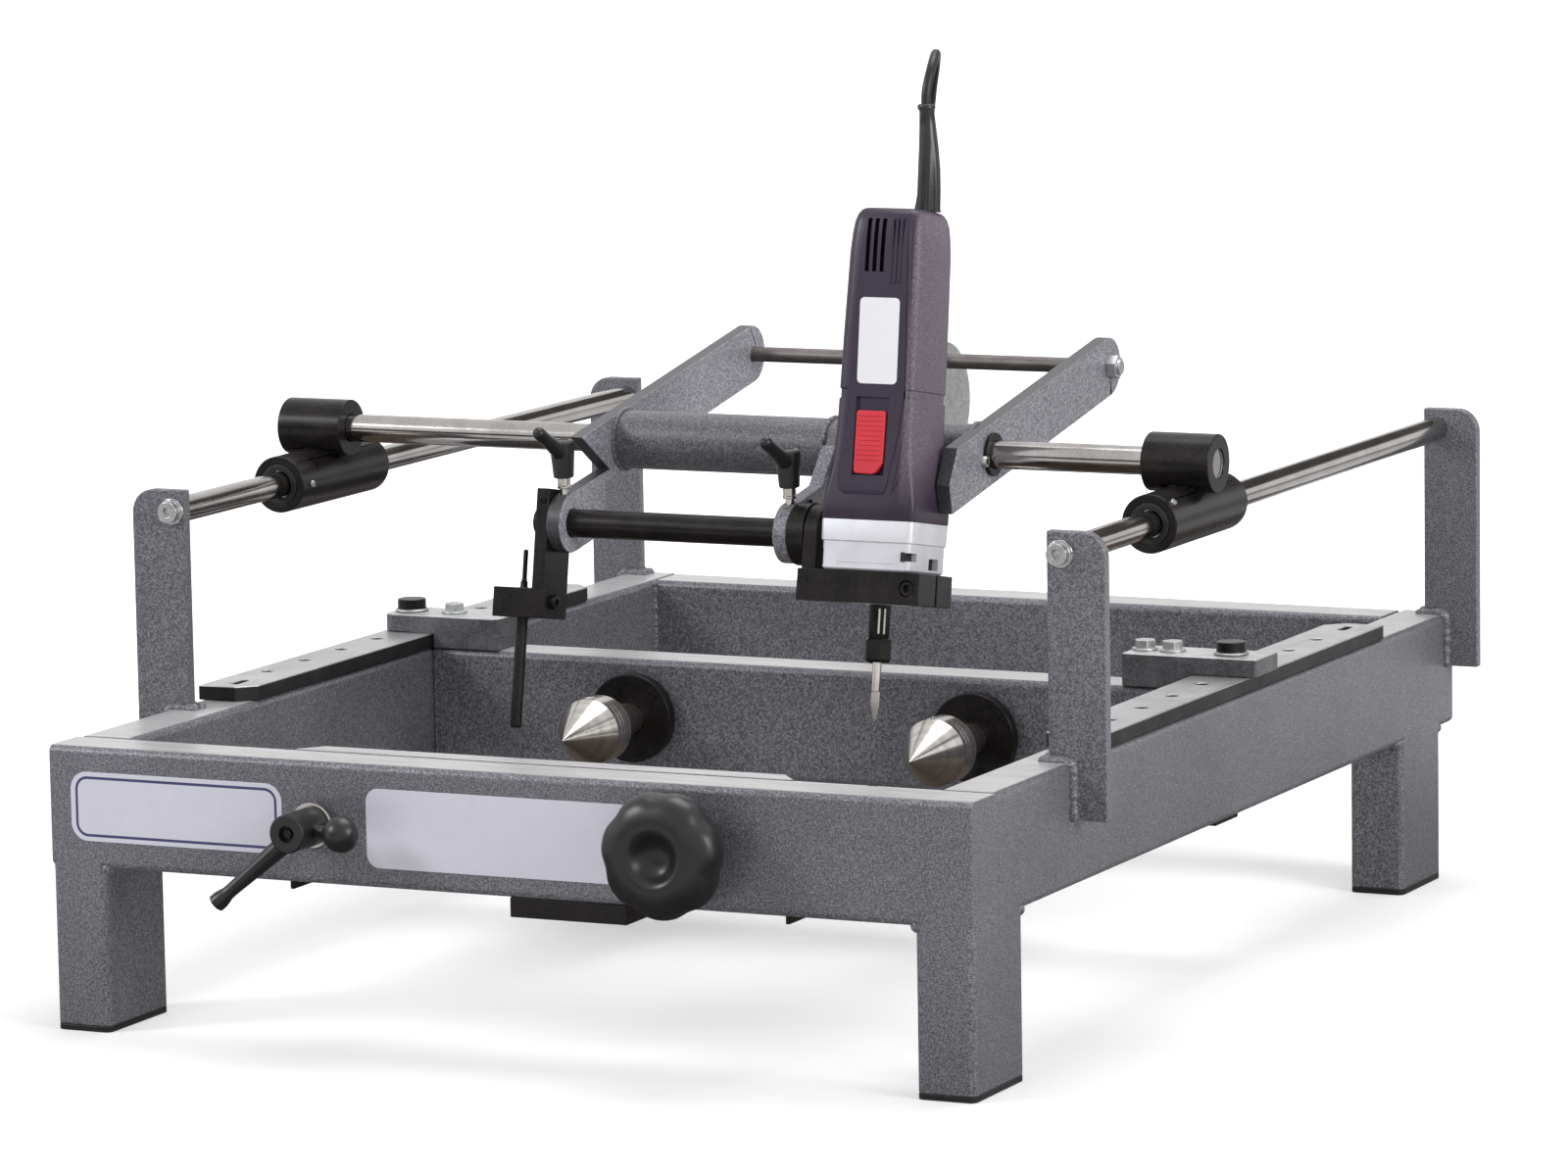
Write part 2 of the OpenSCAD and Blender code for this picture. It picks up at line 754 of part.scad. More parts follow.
module hex_bolt(x) {
  translate([x, beam_mid_y, 0]) {
    translate([0, 0, plate_top]) cylinder(h = washer_t, d = 1.2 * hex_head_d);
    translate([0, 0, plate_top + washer_t]) cylinder(h = hex_head_h, d = hex_head_d, $fn = 6);
    translate([0, 0, frame_h]) cylinder(h = plate_top - frame_h + washer_t, d = hex_bolt_d);
  }
}

module headstock_bolts() {
  color("gainsboro") {
    hex_bolt(-left_bolt_x);
    for (x = right_bolt_xs) hex_bolt(x);
    for (s = [-1, 1], i = [0 : 2]) translate([s * axis_x, flange_front_y, axis_z])
      rotate([0, 120 * i - 45, 0]) translate([flange_screw_r, 0, 0]) {
        rod_along_y(-0.6, 0, 1.7 * flange_screw_d);
        rod_along_y(-0.6, flange_t - 1, flange_screw_d);
      }
  }
}

// A flange holds the bearings of each live centre in the beam
module bearing_flanges() {
  color("#1c1d1f") for (s = [-1, 1]) translate([s * axis_x, 0, axis_z]) difference() {
    union() {
      rod_along_y(flange_front_y, beam_y, flange_d);
      rod_along_y(beam_y - 1, beam_y + beam_t + pulley_gap - 1, bearing_d);
    }
    rod_along_y(flange_front_y - 1, beam_y + beam_t + pulley_gap, centre_shaft_d + 2 * fit);
    for (i = [0 : 2]) rotate([0, 120 * i - 45, 0]) translate([flange_screw_r, 0, 0])
      rod_along_y(flange_front_y - 1, beam_y - 1, flange_screw_d + 2 * slack);
  }
}

// The belt makes both live centres turn together, so the work follows the pattern
module drive_belt() {
  r = pulley_d / 2 + soft_gap;
  color("#1c1d1f") translate([0, pulley_y + pulley_w / 2 + belt_w / 2, axis_z]) rotate([90, 0, 0])
    linear_extrude(belt_w) difference() {
      round_rect(axis_gap + 2 * (r + belt_t), 2 * (r + belt_t), r + belt_t - 0.01);
      round_rect(axis_gap + 2 * r, 2 * r, r - 0.01);
    }
}

// A pin slides in its clamp plate, and its head rests on a washer
module locating_pin(side) {
  color("#1c1d1f") translate([hole_x(side), beam_mid_y, 0]) {
    translate([0, 0, strip_top]) cylinder(h = plate_top + 1 - strip_top, d = hole_d - 2 * pin_play);
    translate([0, 0, plate_top + soft_gap]) cylinder(h = washer_t, d = pin_head_d + 4);
    translate([0, 0, plate_top + soft_gap + washer_t]) cylinder(h = pin_head_h, d = pin_head_d);
  }
}

module left_locating_pin() {
  locating_pin(-1);
}

module right_locating_pin() {
  locating_pin(1);
}

// Cone, land, shaft and pulley of a live centre
module live_centre(side) {
  land_front = centre_rear_y - centre_land;
  color("silver") translate([side * axis_x, 0, axis_z]) rotate([-90, 0, 0]) rotate_extrude() polygon([
    [0, land_front - centre_cone], [centre_d / 2, land_front],
    [centre_d / 2, centre_rear_y], [centre_shaft_d / 2, centre_rear_y],
    [centre_shaft_d / 2, pulley_y], [pulley_d / 2, pulley_y],
    [pulley_d / 2, pulley_y + pulley_w], [0, pulley_y + pulley_w]
  ]);
}

module left_live_centre() {
  live_centre(-1);
}

module right_live_centre() {
  live_centre(1);
}

// Cross carriage: a slider on each slide rod, joined by the cross rod
module slider(side) {
  x = side * rod_x;
  holder_end = rod_x + rod_holder_len / 2;
  difference() {
    union() {
      translate([x, 0, slide_rod_z]) rod_along_y(slider_front, slider_front + slider_len, slider_d);
      translate([x, cross_abs_y, cross_z]) rod_along_x(-rod_holder_len / 2, rod_holder_len / 2, slider_d);
    }
    translate([x, 0, slide_rod_z]) {
      rod_along_y(slider_front - 1, slider_front + slider_len + 1, slide_rod_d + 2);
      for (y = [slider_front - 1, slider_front + slider_len - slide_bushing_len - 3])
        rod_along_y(y, y + slide_bushing_len + 4, bushing_d + 2 * slack);
    }
    translate([0, cross_abs_y, cross_z])
      rod_along_x(side > 0 ? rod_x - rod_holder_len : -holder_end - 1,
                  side > 0 ? holder_end + 1 : -rod_x + rod_holder_len, cross_rod_d + 2 * slack);
  }
}

module sliders() {
  color("#1c1d1f") for (side = [-1, 1]) slider(side);
}

module slider_bushings() {
  color("silver") for (side = [-1, 1], y = [slider_front + 3, slider_front + slider_len - slide_bushing_len - 3])
    translate([side * rod_x, 0, slide_rod_z]) difference() {
      rod_along_y(y, y + slide_bushing_len, bushing_d);
      rod_along_y(y - 1, y + slide_bushing_len + 1, slide_rod_d + 2 * fit);
    }
}

module cross_rod() {
  color("silver") translate([0, cross_abs_y, cross_z]) rod_along_x(-rod_half, rod_half, cross_rod_d);
}

// The yoke turns on two bushings that slide along the cross rod
module hub_bushings() {
  color("dimgray") translate([0, cross_abs_y, cross_z])
    for (x = [left_arm_in + 4, right_arm_in - 4 - hub_bushing_len]) difference() {
      rod_along_x(x, x + hub_bushing_len, hub_bushing_d);
      rod_along_x(x - 1, x + hub_bushing_len + 1, cross_rod_d + 2 * fit);
    }
}

module hub_tube() {
  color("slategray") in_yoke() difference() {
    rod_along_x(left_arm_in, right_arm_in, hub_d);
    rod_along_x(left_arm_in - 1, right_arm_in + 1, hub_bushing_d + 2 * fit);
  }
}

module arm_holes(x0, x1) {
  rod_along_x(x0 - 1, x1 + 1, cross_rod_d + 4);
  translate([0, rear_reach, 0]) rod_along_x(x0 - 1, x1 + 1, rear_rod_d + 2 * slack);
}

// A limb reaches forward and down from the left arm to the tool bar
module left_arm() {
  limb_top = arm_r - bar_drop;
  limb_bottom = -arm_r - bar_drop;
  color("slategray") in_yoke() difference() {
    plate_along_x(yoke_left, left_arm_in) {
      translate([rear_reach, 0]) circle(r = arm_r);
      translate([-bar_forward, -bar_drop]) circle(r = arm_r);
      polygon([
        [rear_reach, arm_r], [-arm_front, arm_r], [-notch_front, limb_top - 1], [-bar_forward, limb_top],
        [-bar_forward, limb_bottom], [-limb_rear - 8, limb_bottom], [-limb_rear - 1, -arm_r], [rear_reach, -arm_r]
      ]);
    }
    arm_holes(yoke_left, left_arm_in);
    translate([0, -bar_forward, -bar_drop]) rod_along_x(yoke_left - 1, left_arm_in + 1, bar_d + 2 * fit);
    stud_hole(yoke_left + arm_t / 2);
  }
}

module right_arm() {
  color("slategray") in_yoke() difference() {
    plate_along_x(right_arm_in, yoke_right) {
      translate([rear_reach, 0]) circle(r = arm_r);
      polygon([
        [rear_reach, arm_r], [-right_arm_front + 18, arm_r], [-right_arm_front, 0],
        [-right_arm_front, -arm_r], [rear_reach, -arm_r]
      ]);
    }
    arm_holes(right_arm_in, yoke_right);
  }
}

// The middle arm is a limb alone, fixed to the hub tube
module middle_arm() {
  limb_top = arm_r - bar_drop;
  limb_bottom = -arm_r - bar_drop;
  color("slategray") in_yoke() difference() {
    plate_along_x(middle_left, middle_left + arm_t) {
      translate([-bar_forward, -bar_drop]) circle(r = arm_r);
      polygon([
        [-bar_forward, limb_bottom], [-limb_rear - 8, limb_bottom], [0, -arm_r - 2], [0, 0],
        [-arm_r, 8], [-limb_rear - 12, limb_top], [-bar_forward, limb_top]
      ]);
    }
    rod_along_x(middle_left - 1, middle_left + arm_t + 1, hub_d + 2 * slack);
    translate([0, -bar_forward, -bar_drop])
      rod_along_x(middle_left - 1, middle_left + arm_t + 1, bar_d + 2 * fit);
    stud_hole(middle_left + arm_t / 2);
  }
}

// The rear rod with a nut outside each arm
module rear_rod() {
  color("gainsboro") in_yoke() translate([0, rear_reach, 0]) {
    rod_along_x(yoke_left - nut_t - 2, yoke_right + nut_t + 2, rear_rod_d);
    for (x = [yoke_left - nut_t, yoke_right]) translate([x, 0, 0]) rotate([0, 90, 0])
      cylinder(h = nut_t, d = nut_d, $fn = 6);
  }
}

module counterweight() {
  rod_y = cross_abs_y + rear_reach * cos(yoke_tilt);
  rod_z = cross_z + rear_reach * sin(yoke_tilt);
  color("lightgray") translate([0, rod_y, rod_z]) difference() {
    translate([0, 5, -weight_drop]) rod_along_x(weight_right - weight_t, weight_right, weight_d);
    rod_along_x(weight_right - weight_t - 1, weight_right + 1, rear_rod_d + 2 * weight_play);
  }
}

module hub_seals() {
  color("#1c1d1f") in_yoke() for (x = [yoke_left - seal_t, yoke_right]) difference() {
    rod_along_x(x, x + seal_t, seal_d);
    rod_along_x(x - 1, x + seal_t + 1, cross_rod_d + 2 * fit);
  }
}

// A clamp lever screws into a limb and grips the tool bar
module at_lever(x) {
  translate([x, -bar_forward, -bar_drop]) rotate([-lever_lean, 0, 0]) children();
}

module stud_hole(x) {
  at_lever(x) translate([0, 0, stud_base - 1]) cylinder(h = stud_hole_len, d = stud_d + 2 * fit);
}

module clamp_lever(x) {
  color("#1c1d1f") in_yoke() at_lever(x) {
    translate([0, 0, stud_base]) cylinder(h = grip_z + 1 - stud_base, d = stud_d);
    translate([0, 0, grip_z]) cylinder(h = neck_len, d = neck_d);
    translate([0, 0, grip_z + neck_len]) cylinder(h = grip_len, d1 = grip_base_d, d2 = grip_d);
    translate([0, 0, grip_z + neck_len + grip_len - 9]) rotate([90 - grip_arm_rise, 0, 0])
      cylinder(h = grip_arm_len, d1 = grip_arm_d + 3, d2 = grip_arm_d);
  }
}

module left_clamp_lever() {
  clamp_lever(yoke_left + arm_t / 2);
}

module right_clamp_lever() {
  clamp_lever(middle_left + arm_t / 2);
}

// Tool bar with everything that turns about it
module tool_bar() {
  color("#1c1d1f") in_tools() rod_along_x(bar_left, bar_right, bar_d);
}

module bar_collar() {
  color("#1c1d1f") in_tools() difference() {
    rod_along_x(bar_collar_left, bar_collar_left + bar_collar_t, bar_collar_d);
    rod_along_x(bar_collar_left - 1, bar_collar_left + bar_collar_t + 1, bar_d + 2 * slack);
  }
}

module stylus_holder() {
  color("#1c1d1f") in_tools() difference() {
    union() {
      translate([holder_left, -holder_w / 2, holder_bottom])
        cube([holder_t, holder_w, holder_top - holder_bottom]);
      translate([stylus_block_left, -holder_w / 2, holder_bottom])
        cube([holder_right - stylus_block_left, holder_w, stylus_block_h]);
    }
    rod_along_x(holder_left - 1, holder_right + 1, bar_d + 2 * slack);
    translate([stylus_x, 0, holder_bottom - 1]) cylinder(h = stylus_block_h + 2, d = stylus_d + 2 * fit);
  }
}

module stylus() {
  color("#3a3c3f") in_tools() translate([stylus_x, 0, 0]) {
    translate([0, 0, -stylus_reach]) cylinder(h = stylus_reach + holder_bottom + stylus_block_h, d = stylus_d);
    translate([0, 0, holder_bottom + stylus_block_h])
      cylinder(h = stylus_step_top - holder_bottom - stylus_block_h, d = stylus_step_d);
    translate([0, 0, stylus_step_top]) cylinder(h = stylus_pin_top - stylus_step_top, d = stylus_pin_d);
  }
}

// A plate on the tool bar with a split block that clamps the collar of the motor
module motor_bracket() {
  color("#1c1d1f") in_tools() difference() {
    union() {
      plate_along_x(plate_left, plate_right) {
        circle(r = arm_r);
        polygon([[-arm_r, 0], [-arm_r, block_bottom], [arm_r, block_bottom], [arm_r, 0]]);
      }
      translate([plate_left, motor_off + block_front, block_bottom])
        cube([block_right - plate_left, block_rear - block_front, block_h]);
    }
    rod_along_x(plate_left - 1, plate_right + 1, bar_d + 2 * slack);
    translate([motor_x, motor_off, block_bottom - 1]) cylinder(h = block_h + 2, d = collar_d + 2 * slack);
    translate([motor_x + collar_d / 2 - 2, motor_off - split_w / 2, block_bottom - 1])
      cube([block_right - motor_x, split_w, block_h + 2]);
    bracket_screw_hole();
  }
}

module bracket_screw_hole() {
  translate([block_right - 9, motor_off, (block_top + block_bottom) / 2]) {
    rod_along_y(block_front - 1, block_front + 6, 11);
    rod_along_y(block_front, block_front + clamp_screw_len + 1, clamp_screw_d + 2 * slack);
  }
}

module bracket_screws() {
  color("#3a3c3f") in_tools() {
    translate([block_right - 9, motor_off + block_front, (block_top + block_bottom) / 2]) difference() {
      union() {
        rod_along_y(1, 6 - slack, 10);
        rod_along_y(1, clamp_screw_len, clamp_screw_d);
      }
      rotate([-90, 0, 0]) cylinder(h = 4, d = 5.5, $fn = 6);
    }
  }
}

// Motor: collar and nose of alloy, a plastic housing and its switch
module motor_nose() {
  color("silver") at_motor() difference() {
    union() {
      translate([0, 0, nose_bottom]) linear_extrude(nose_top - nose_bottom)
        round_rect(nose_w, nose_depth, nose_r);
      translate([0, 0, block_bottom]) cylinder(h = nose_bottom - block_bottom + 1, d = collar_d);
    }
    translate([0, 0, block_bottom - 1]) cylinder(h = spindle_top + 2 - block_bottom, d = spindle_bore_d);
  }
}

module housing_section(z, w, d, r) {
  translate([0, 0, z]) linear_extrude(0.5) round_rect(w, d, r);
}

module motor_housing() {
  color("#3b2a3f") at_motor() difference() {
    union() {
      hull() {
        housing_section(nose_top, nose_w, nose_depth, nose_r, $fn = 32);
        housing_section(nose_top + flare_h, nose_w - 2, nose_depth, nose_r + 4, $fn = 32);
        housing_section(nose_top + shoulder_h, housing_w, housing_depth, housing_r, $fn = 32);
      }
      hull() {
        housing_section(nose_top + shoulder_h - 0.5, housing_w, housing_depth, housing_r, $fn = 32);
        housing_section(housing_top - crown_h, housing_w - 2, housing_depth, housing_r, $fn = 32);
        housing_section(housing_top - 7, housing_w - 6, housing_depth - 3, housing_r - 1, $fn = 32);
        housing_section(housing_top - 0.5, housing_w - 16, housing_depth - 12, housing_r - 2, $fn = 32);
      }
    }
    translate([switch_off - switch_w / 2 - soft_gap, -housing_depth, switch_bottom - soft_gap])
      cube([switch_w + 2 * soft_gap, housing_depth / 2 + switch_sunk + soft_gap,
            switch_len + switch_travel + 2 * soft_gap]);
  }
}

// The switch slides up in its pocket, with ribs for the thumb
module motor_switch() {
  front = -housing_depth / 2 - switch_proud;
  color("#c8202c") at_motor() translate([switch_off - switch_w / 2, 0, switch_bottom]) {
    translate([0, front, 0]) cube([switch_w, switch_proud + switch_sunk, switch_len]);
    for (i = [0 : switch_ribs - 1]) translate([2, front - 1.5, 8 + 5 * i]) cube([switch_w - 4, 2, 2]);
  }
}

module motor_spindle() {
  color("#3a3c3f") at_motor() {
    translate([0, 0, spindle_bottom]) cylinder(h = spindle_top - spindle_bottom, d = spindle_d);
    translate([0, 0, spindle_top - bearing_len]) cylinder(h = bearing_len, d = spindle_bore_d - 2 * fit);
    translate([0, 0, collet_nut_bottom]) cylinder(h = collet_nut_top - collet_nut_bottom + 2, d = collet_nut_d);
  }
}

module cutter() {
  color("silver") at_motor() {
    translate([0, 0, -cutter_reach + 12]) cylinder(h = collet_nut_bottom + cutter_reach - 12, d = shank_d);
    translate([0, 0, -cutter_reach]) cylinder(h = 12, d1 = 1.5, d2 = shank_d);
  }
}

// The boot leans a little, and holds the cord where it leaves the housing
module cable_boot() {
  cone_len = boot_len - boot_foot / 2 - boot_collar_h;
  color("#1c1d1f") in_tools() translate([boot_x, boot_off, housing_top]) {
    cylinder(h = boot_foot, d = boot_base_d);
    translate([0, 0, boot_foot / 2])
      rotate([atan(-boot_lean_y / boot_len), atan(boot_lean_x / boot_len), 0]) {
        cylinder(h = cone_len, d1 = boot_base_d, d2 = boot_tip_d);
        translate([0, 0, cone_len]) cylinder(h = boot_collar_h, d = boot_tip_d + 1.5);
      }
  }
}

// Power cord
function unit(v) = v / norm(v);
function along(points, i) =
  i == 0 ? unit(points[1] - points[0]) :
  i == len(points) - 1 ? unit(points[i] - points[i - 1]) :
  unit(unit(points[i + 1] - points[i]) + unit(points[i] - points[i - 1]));

// One tube along the points, with the given number of sides
module swept_tube(points, d, sides, ref) {
  n = len(points);
  rings = [for (i = [0 : n - 1], k = [0 : sides - 1])
    let (
      t = along(points, i),
      u = unit(cross(t, ref)),
      v = cross(t, u),
      a = 360 * k / sides
    )
    points[i] + d / 2 * (cos(a) * u + sin(a) * v)];
  walls = [for (i = [0 : n - 2], k = [0 : sides - 1])
    let (a = i * sides + k, b = i * sides + (k + 1) % sides)
    each [[a, a + sides, b], [b, a + sides, b + sides]]];
  end = (n - 1) * sides;
  caps = [for (k = [1 : sides - 2]) each [[0, k, k + 1], [end, end + k + 1, end + k]]];
  polyhedron(points = rings, faces = concat(walls, caps));
}

// The route follows the front of the frame, and the height of the cross rod as far as it hangs
function placed(p) = [p.x, p.y + front_y, p.z + route_lift * min(1, p.z / hang_z)];

// Each stretch starts a small gap after the one before it
module cord(points) {
  start = points[0] + cord_gap * unit(points[1] - points[0]);
  rest = [for (i = [1 : len(points) - 1]) placed(points[i])];
  color("#1c1d1f") swept_tube(concat([placed(start)], rest), cord_d, 8, [1, 0.3, 0]);
}

module cord_at_motor() {
  cord(motor_points);
}

module cord_at_yoke() {
  cord(yoke_points);
}

module cord_middle() {
  cord(middle_points);
}

module cord_to_floor() {
  cord(floor_points);
}

// The coil winds inwards on the floor, climbs one layer and winds outwards again
function coil_radius(t) = coil_r - coil_pitch * min(t, coil_turns - t);
function smooth(s) = s * s * (3 - 2 * s);
function coil_height(t) =
  cord_d / 2 + coil_pitch * smooth(max(0, min(1, (t - layer_turns) / 0.5)));
function coil_point(t) = [
  coil_centre.x - coil_radius(t) * cos(360 * t),
  coil_centre.y + front_y + coil_radius(t) * sin(360 * t),
  coil_height(t)
];
coil_path = concat(
  [coil_point(0) - [0, coil_lead - cord_gap, 0]],
  [for (i = [0 : coil_turns * coil_steps]) coil_point(i / coil_steps)],
  [coil_point(coil_turns) - [0, coil_tail, 0]]
);

// The least gap between any two turns, measured on the points
coil_gaps = [for (i = [0 : len(coil_path) - 1], j = [i + coil_steps / 2 : len(coil_path) - 1])
  norm(coil_path[i] - coil_path[j]) - cord_d];
echo(coil_gap = min(coil_gaps));

module cord_coil() {
  color("#1c1d1f") swept_tube(coil_path, cord_d, 6, [0, 0, 1]);
}

// A tie goes round all the turns on one side of the coil
module cord_tie() {
  inner_r = coil_r - coil_pitch * (layer_turns + 0.25) - cord_d / 2 - 0.6;
  w = coil_r + cord_d / 2 + 0.6 - inner_r;
  h = cord_d + coil_pitch + 0.6;
  color("#3a3c3f") translate([coil_centre.x, coil_centre.y + front_y, 0]) rotate([0, 0, 90])
    translate([inner_r + w / 2, tie_w / 2, h / 2 + 0.02]) rotate([90, 0, 0]) linear_extrude(tie_w) difference() {
      round_rect(w + 2 * tie_t, h, 2);
      round_rect(w, h - 0.8, 1.5);
    }
}

// A two-pin plug lies on the floor beside the coil
module mains_plug() {
  end = coil_path[len(coil_path) - 1];
  color("#1c1d1f") translate([end.x, end.y, end.z]) rotate([90, 0, 0]) {
    cylinder(h = plug_sleeve_len, d1 = cord_d + 2, d2 = plug_sleeve_d);
    translate([0, 0, plug_sleeve_len - 1]) linear_extrude(plug_len) round_rect(plug_w, 2 * end.z, 6);
    for (s = [-1, 1]) translate([s * plug_pin_gap / 2, 0, plug_sleeve_len - 2 + plug_len])
      cylinder(h = plug_pin_len + 1, d = plug_pin_d);
  }
}

front_beam();
rear_beam();
side_beams();
legs();
foot_caps();
posts();
slide_rods();
rod_bolts();
index_strips();
tail_rail();
under_beam_fittings();
label_plates();
tail_bushes();
tail_quill();
quill_lever();
tail_screw();
star_knob();
tail_centre();
headstock_beam();
clamp_plates();
guide_plates();
headstock_bolts();
bearing_flanges();
drive_belt();
left_locating_pin();
right_locating_pin();
left_live_centre();
right_live_centre();
sliders();
slider_bushings();
cross_rod();
hub_bushings();
hub_tube();
left_arm();
right_arm();
middle_arm();
rear_rod();
counterweight();
hub_seals();
left_clamp_lever();
right_clamp_lever();
tool_bar();
bar_collar();
stylus_holder();
stylus();
motor_bracket();
bracket_screws();
motor_housing();
motor_nose();
motor_switch();
motor_spindle();
cutter();
cable_boot();
cord_at_motor();
cord_at_yoke();
cord_middle();
cord_to_floor();
cord_coil();
cord_tie();
mains_plug();
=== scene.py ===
import json
from math import copysign, cos, pi, radians, sin

import bmesh
import bpy
from mathutils import Matrix, Vector

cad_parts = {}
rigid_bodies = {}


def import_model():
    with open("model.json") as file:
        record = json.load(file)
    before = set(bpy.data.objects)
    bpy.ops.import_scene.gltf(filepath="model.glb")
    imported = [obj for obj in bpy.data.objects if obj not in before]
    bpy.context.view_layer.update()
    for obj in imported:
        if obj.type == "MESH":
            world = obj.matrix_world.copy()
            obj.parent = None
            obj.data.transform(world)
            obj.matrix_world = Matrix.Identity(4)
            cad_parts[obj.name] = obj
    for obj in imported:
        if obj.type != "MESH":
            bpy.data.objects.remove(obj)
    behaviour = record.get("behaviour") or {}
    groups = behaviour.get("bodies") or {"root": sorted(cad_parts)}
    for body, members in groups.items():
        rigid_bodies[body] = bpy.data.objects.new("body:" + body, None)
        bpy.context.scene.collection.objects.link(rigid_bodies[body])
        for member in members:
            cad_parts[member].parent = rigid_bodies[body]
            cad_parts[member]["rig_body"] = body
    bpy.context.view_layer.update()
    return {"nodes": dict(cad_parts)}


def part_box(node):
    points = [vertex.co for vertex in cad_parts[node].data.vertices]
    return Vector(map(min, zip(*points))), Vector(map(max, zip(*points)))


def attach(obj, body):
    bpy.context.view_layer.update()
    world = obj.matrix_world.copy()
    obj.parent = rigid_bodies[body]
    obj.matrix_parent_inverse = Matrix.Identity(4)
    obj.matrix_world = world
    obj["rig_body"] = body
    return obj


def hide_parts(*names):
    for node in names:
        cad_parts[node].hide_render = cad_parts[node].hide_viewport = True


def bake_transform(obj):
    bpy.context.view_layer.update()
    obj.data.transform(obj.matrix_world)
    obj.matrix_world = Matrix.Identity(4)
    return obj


# Looks of a duplicating milling machine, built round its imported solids.
# Shapes are written in millimetres in the frame of the solids, and scaled to metres once.

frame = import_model()
scene = bpy.context.scene
MM = 0.001

# Places that more than one piece uses: the front face, the cross rod, the tool bar, the motor beside it
# and the two lines of centres
FRONT_Y = -403.5
CROSS_Y, CROSS_Z = -38.5, 355.5
YOKE_TILT, TOOL_TILT = radians(10.2), radians(10.0)
BAR_Y, BAR_Z = -119.44, 308.42
MOTOR_X, MOTOR_OFF = 141.0, 3.0
AXIS_X, AXIS_Z = 130.0, 148.5
CORD_D = 6.5
LEG_WIDTH, LEG_DEPTH, LEG_ROUND = 40.0, 77.0, 5
ARM_HALF = 5.0

# Heights at which a finish changes: the tops of the beams, the strips, the clamp plates and the pins' washers
BEAM_TOP, STRIP_TOP, PLATE_TOP, WASHER_TOP = 189.0, 199.0, 211.4, 213.3


def turn(degrees, axis):
    return Matrix.Rotation(radians(degrees), 4, axis)


def shift(x, y, z):
    return Matrix.Translation((x, y, z))


def angles(count):
    """The angles of count points spread round a circle."""
    return [2 * pi * k / count for k in range(count)]


def in_scene(name, data):
    """A new object that holds the data, unmoved."""
    obj = bpy.data.objects.new(name, data)
    scene.collection.objects.link(obj)
    return obj


YOKE = shift(0, CROSS_Y, CROSS_Z) @ Matrix.Rotation(YOKE_TILT, 4, "X")
TOOLS = shift(0, BAR_Y, BAR_Z) @ Matrix.Rotation(-TOOL_TILT, 4, "X")
MOTOR = TOOLS @ shift(MOTOR_X, MOTOR_OFF, 0)


# Finishes


def both_ways(operation):
    """An operator and its reflected form, each of which adds a Math node."""
    return (lambda one, other: one.math(operation, one, other),
            lambda one, other: one.math(operation, other, one))


class Value:
    """A socket in a node tree. Sums written on it add Math nodes."""

    __add__, __radd__ = both_ways("ADD")
    __sub__, __rsub__ = both_ways("SUBTRACT")
    __mul__, __rmul__ = both_ways("MULTIPLY")

    def __init__(self, wiring, socket):
        self.wiring, self.socket = wiring, socket

    def math(self, operation, *terms, clamp=False):
        settings = {"operation": operation, "use_clamp": clamp}
        return self.wiring.node("ShaderNodeMath", settings, dict(enumerate(terms)))

    def __pow__(self, other):
        return self.math("POWER", self, other)

    def __abs__(self):
        return self.math("ABSOLUTE", self)

    def above(self, edge, soft):
        """0 below edge and 1 past edge + soft, with a slope between."""
        past = self - edge
        return past.math("MULTIPLY", past, 1.0 / soft, clamp=True)

    def past(self, edge, soft):
        """The same for a place on the piece, with both in millimetres."""
        return self.above(edge * MM, soft * MM)

    def most(self, other):
        return self.math("MAXIMUM", self, other)


class Wiring:
    """A node tree in the making."""

    tree = None

    def node(self, kind, settings=None, sockets=None, out=0):
        made = self.tree.nodes.new(kind)
        for key, value in (settings or {}).items():
            if key == "stops":
                ramp = made.color_ramp.elements
                while len(ramp) < len(value):
                    ramp.new(0.5)
                for element, (place, colour) in zip(ramp, value):
                    element.position, element.color = place, (*colour, 1.0)
            else:
                setattr(made, key, value)
        for key, value in (sockets or {}).items():
            self.feed(made.inputs[key], value)
        return Value(self, made.outputs[out])

    def feed(self, socket, value):
        if isinstance(value, Value):
            self.tree.links.new(value.socket, socket)
        elif isinstance(value, tuple) and len(value) == 3 and len(socket.default_value) == 4:
            socket.default_value = (*value, 1.0)
        else:
            socket.default_value = value


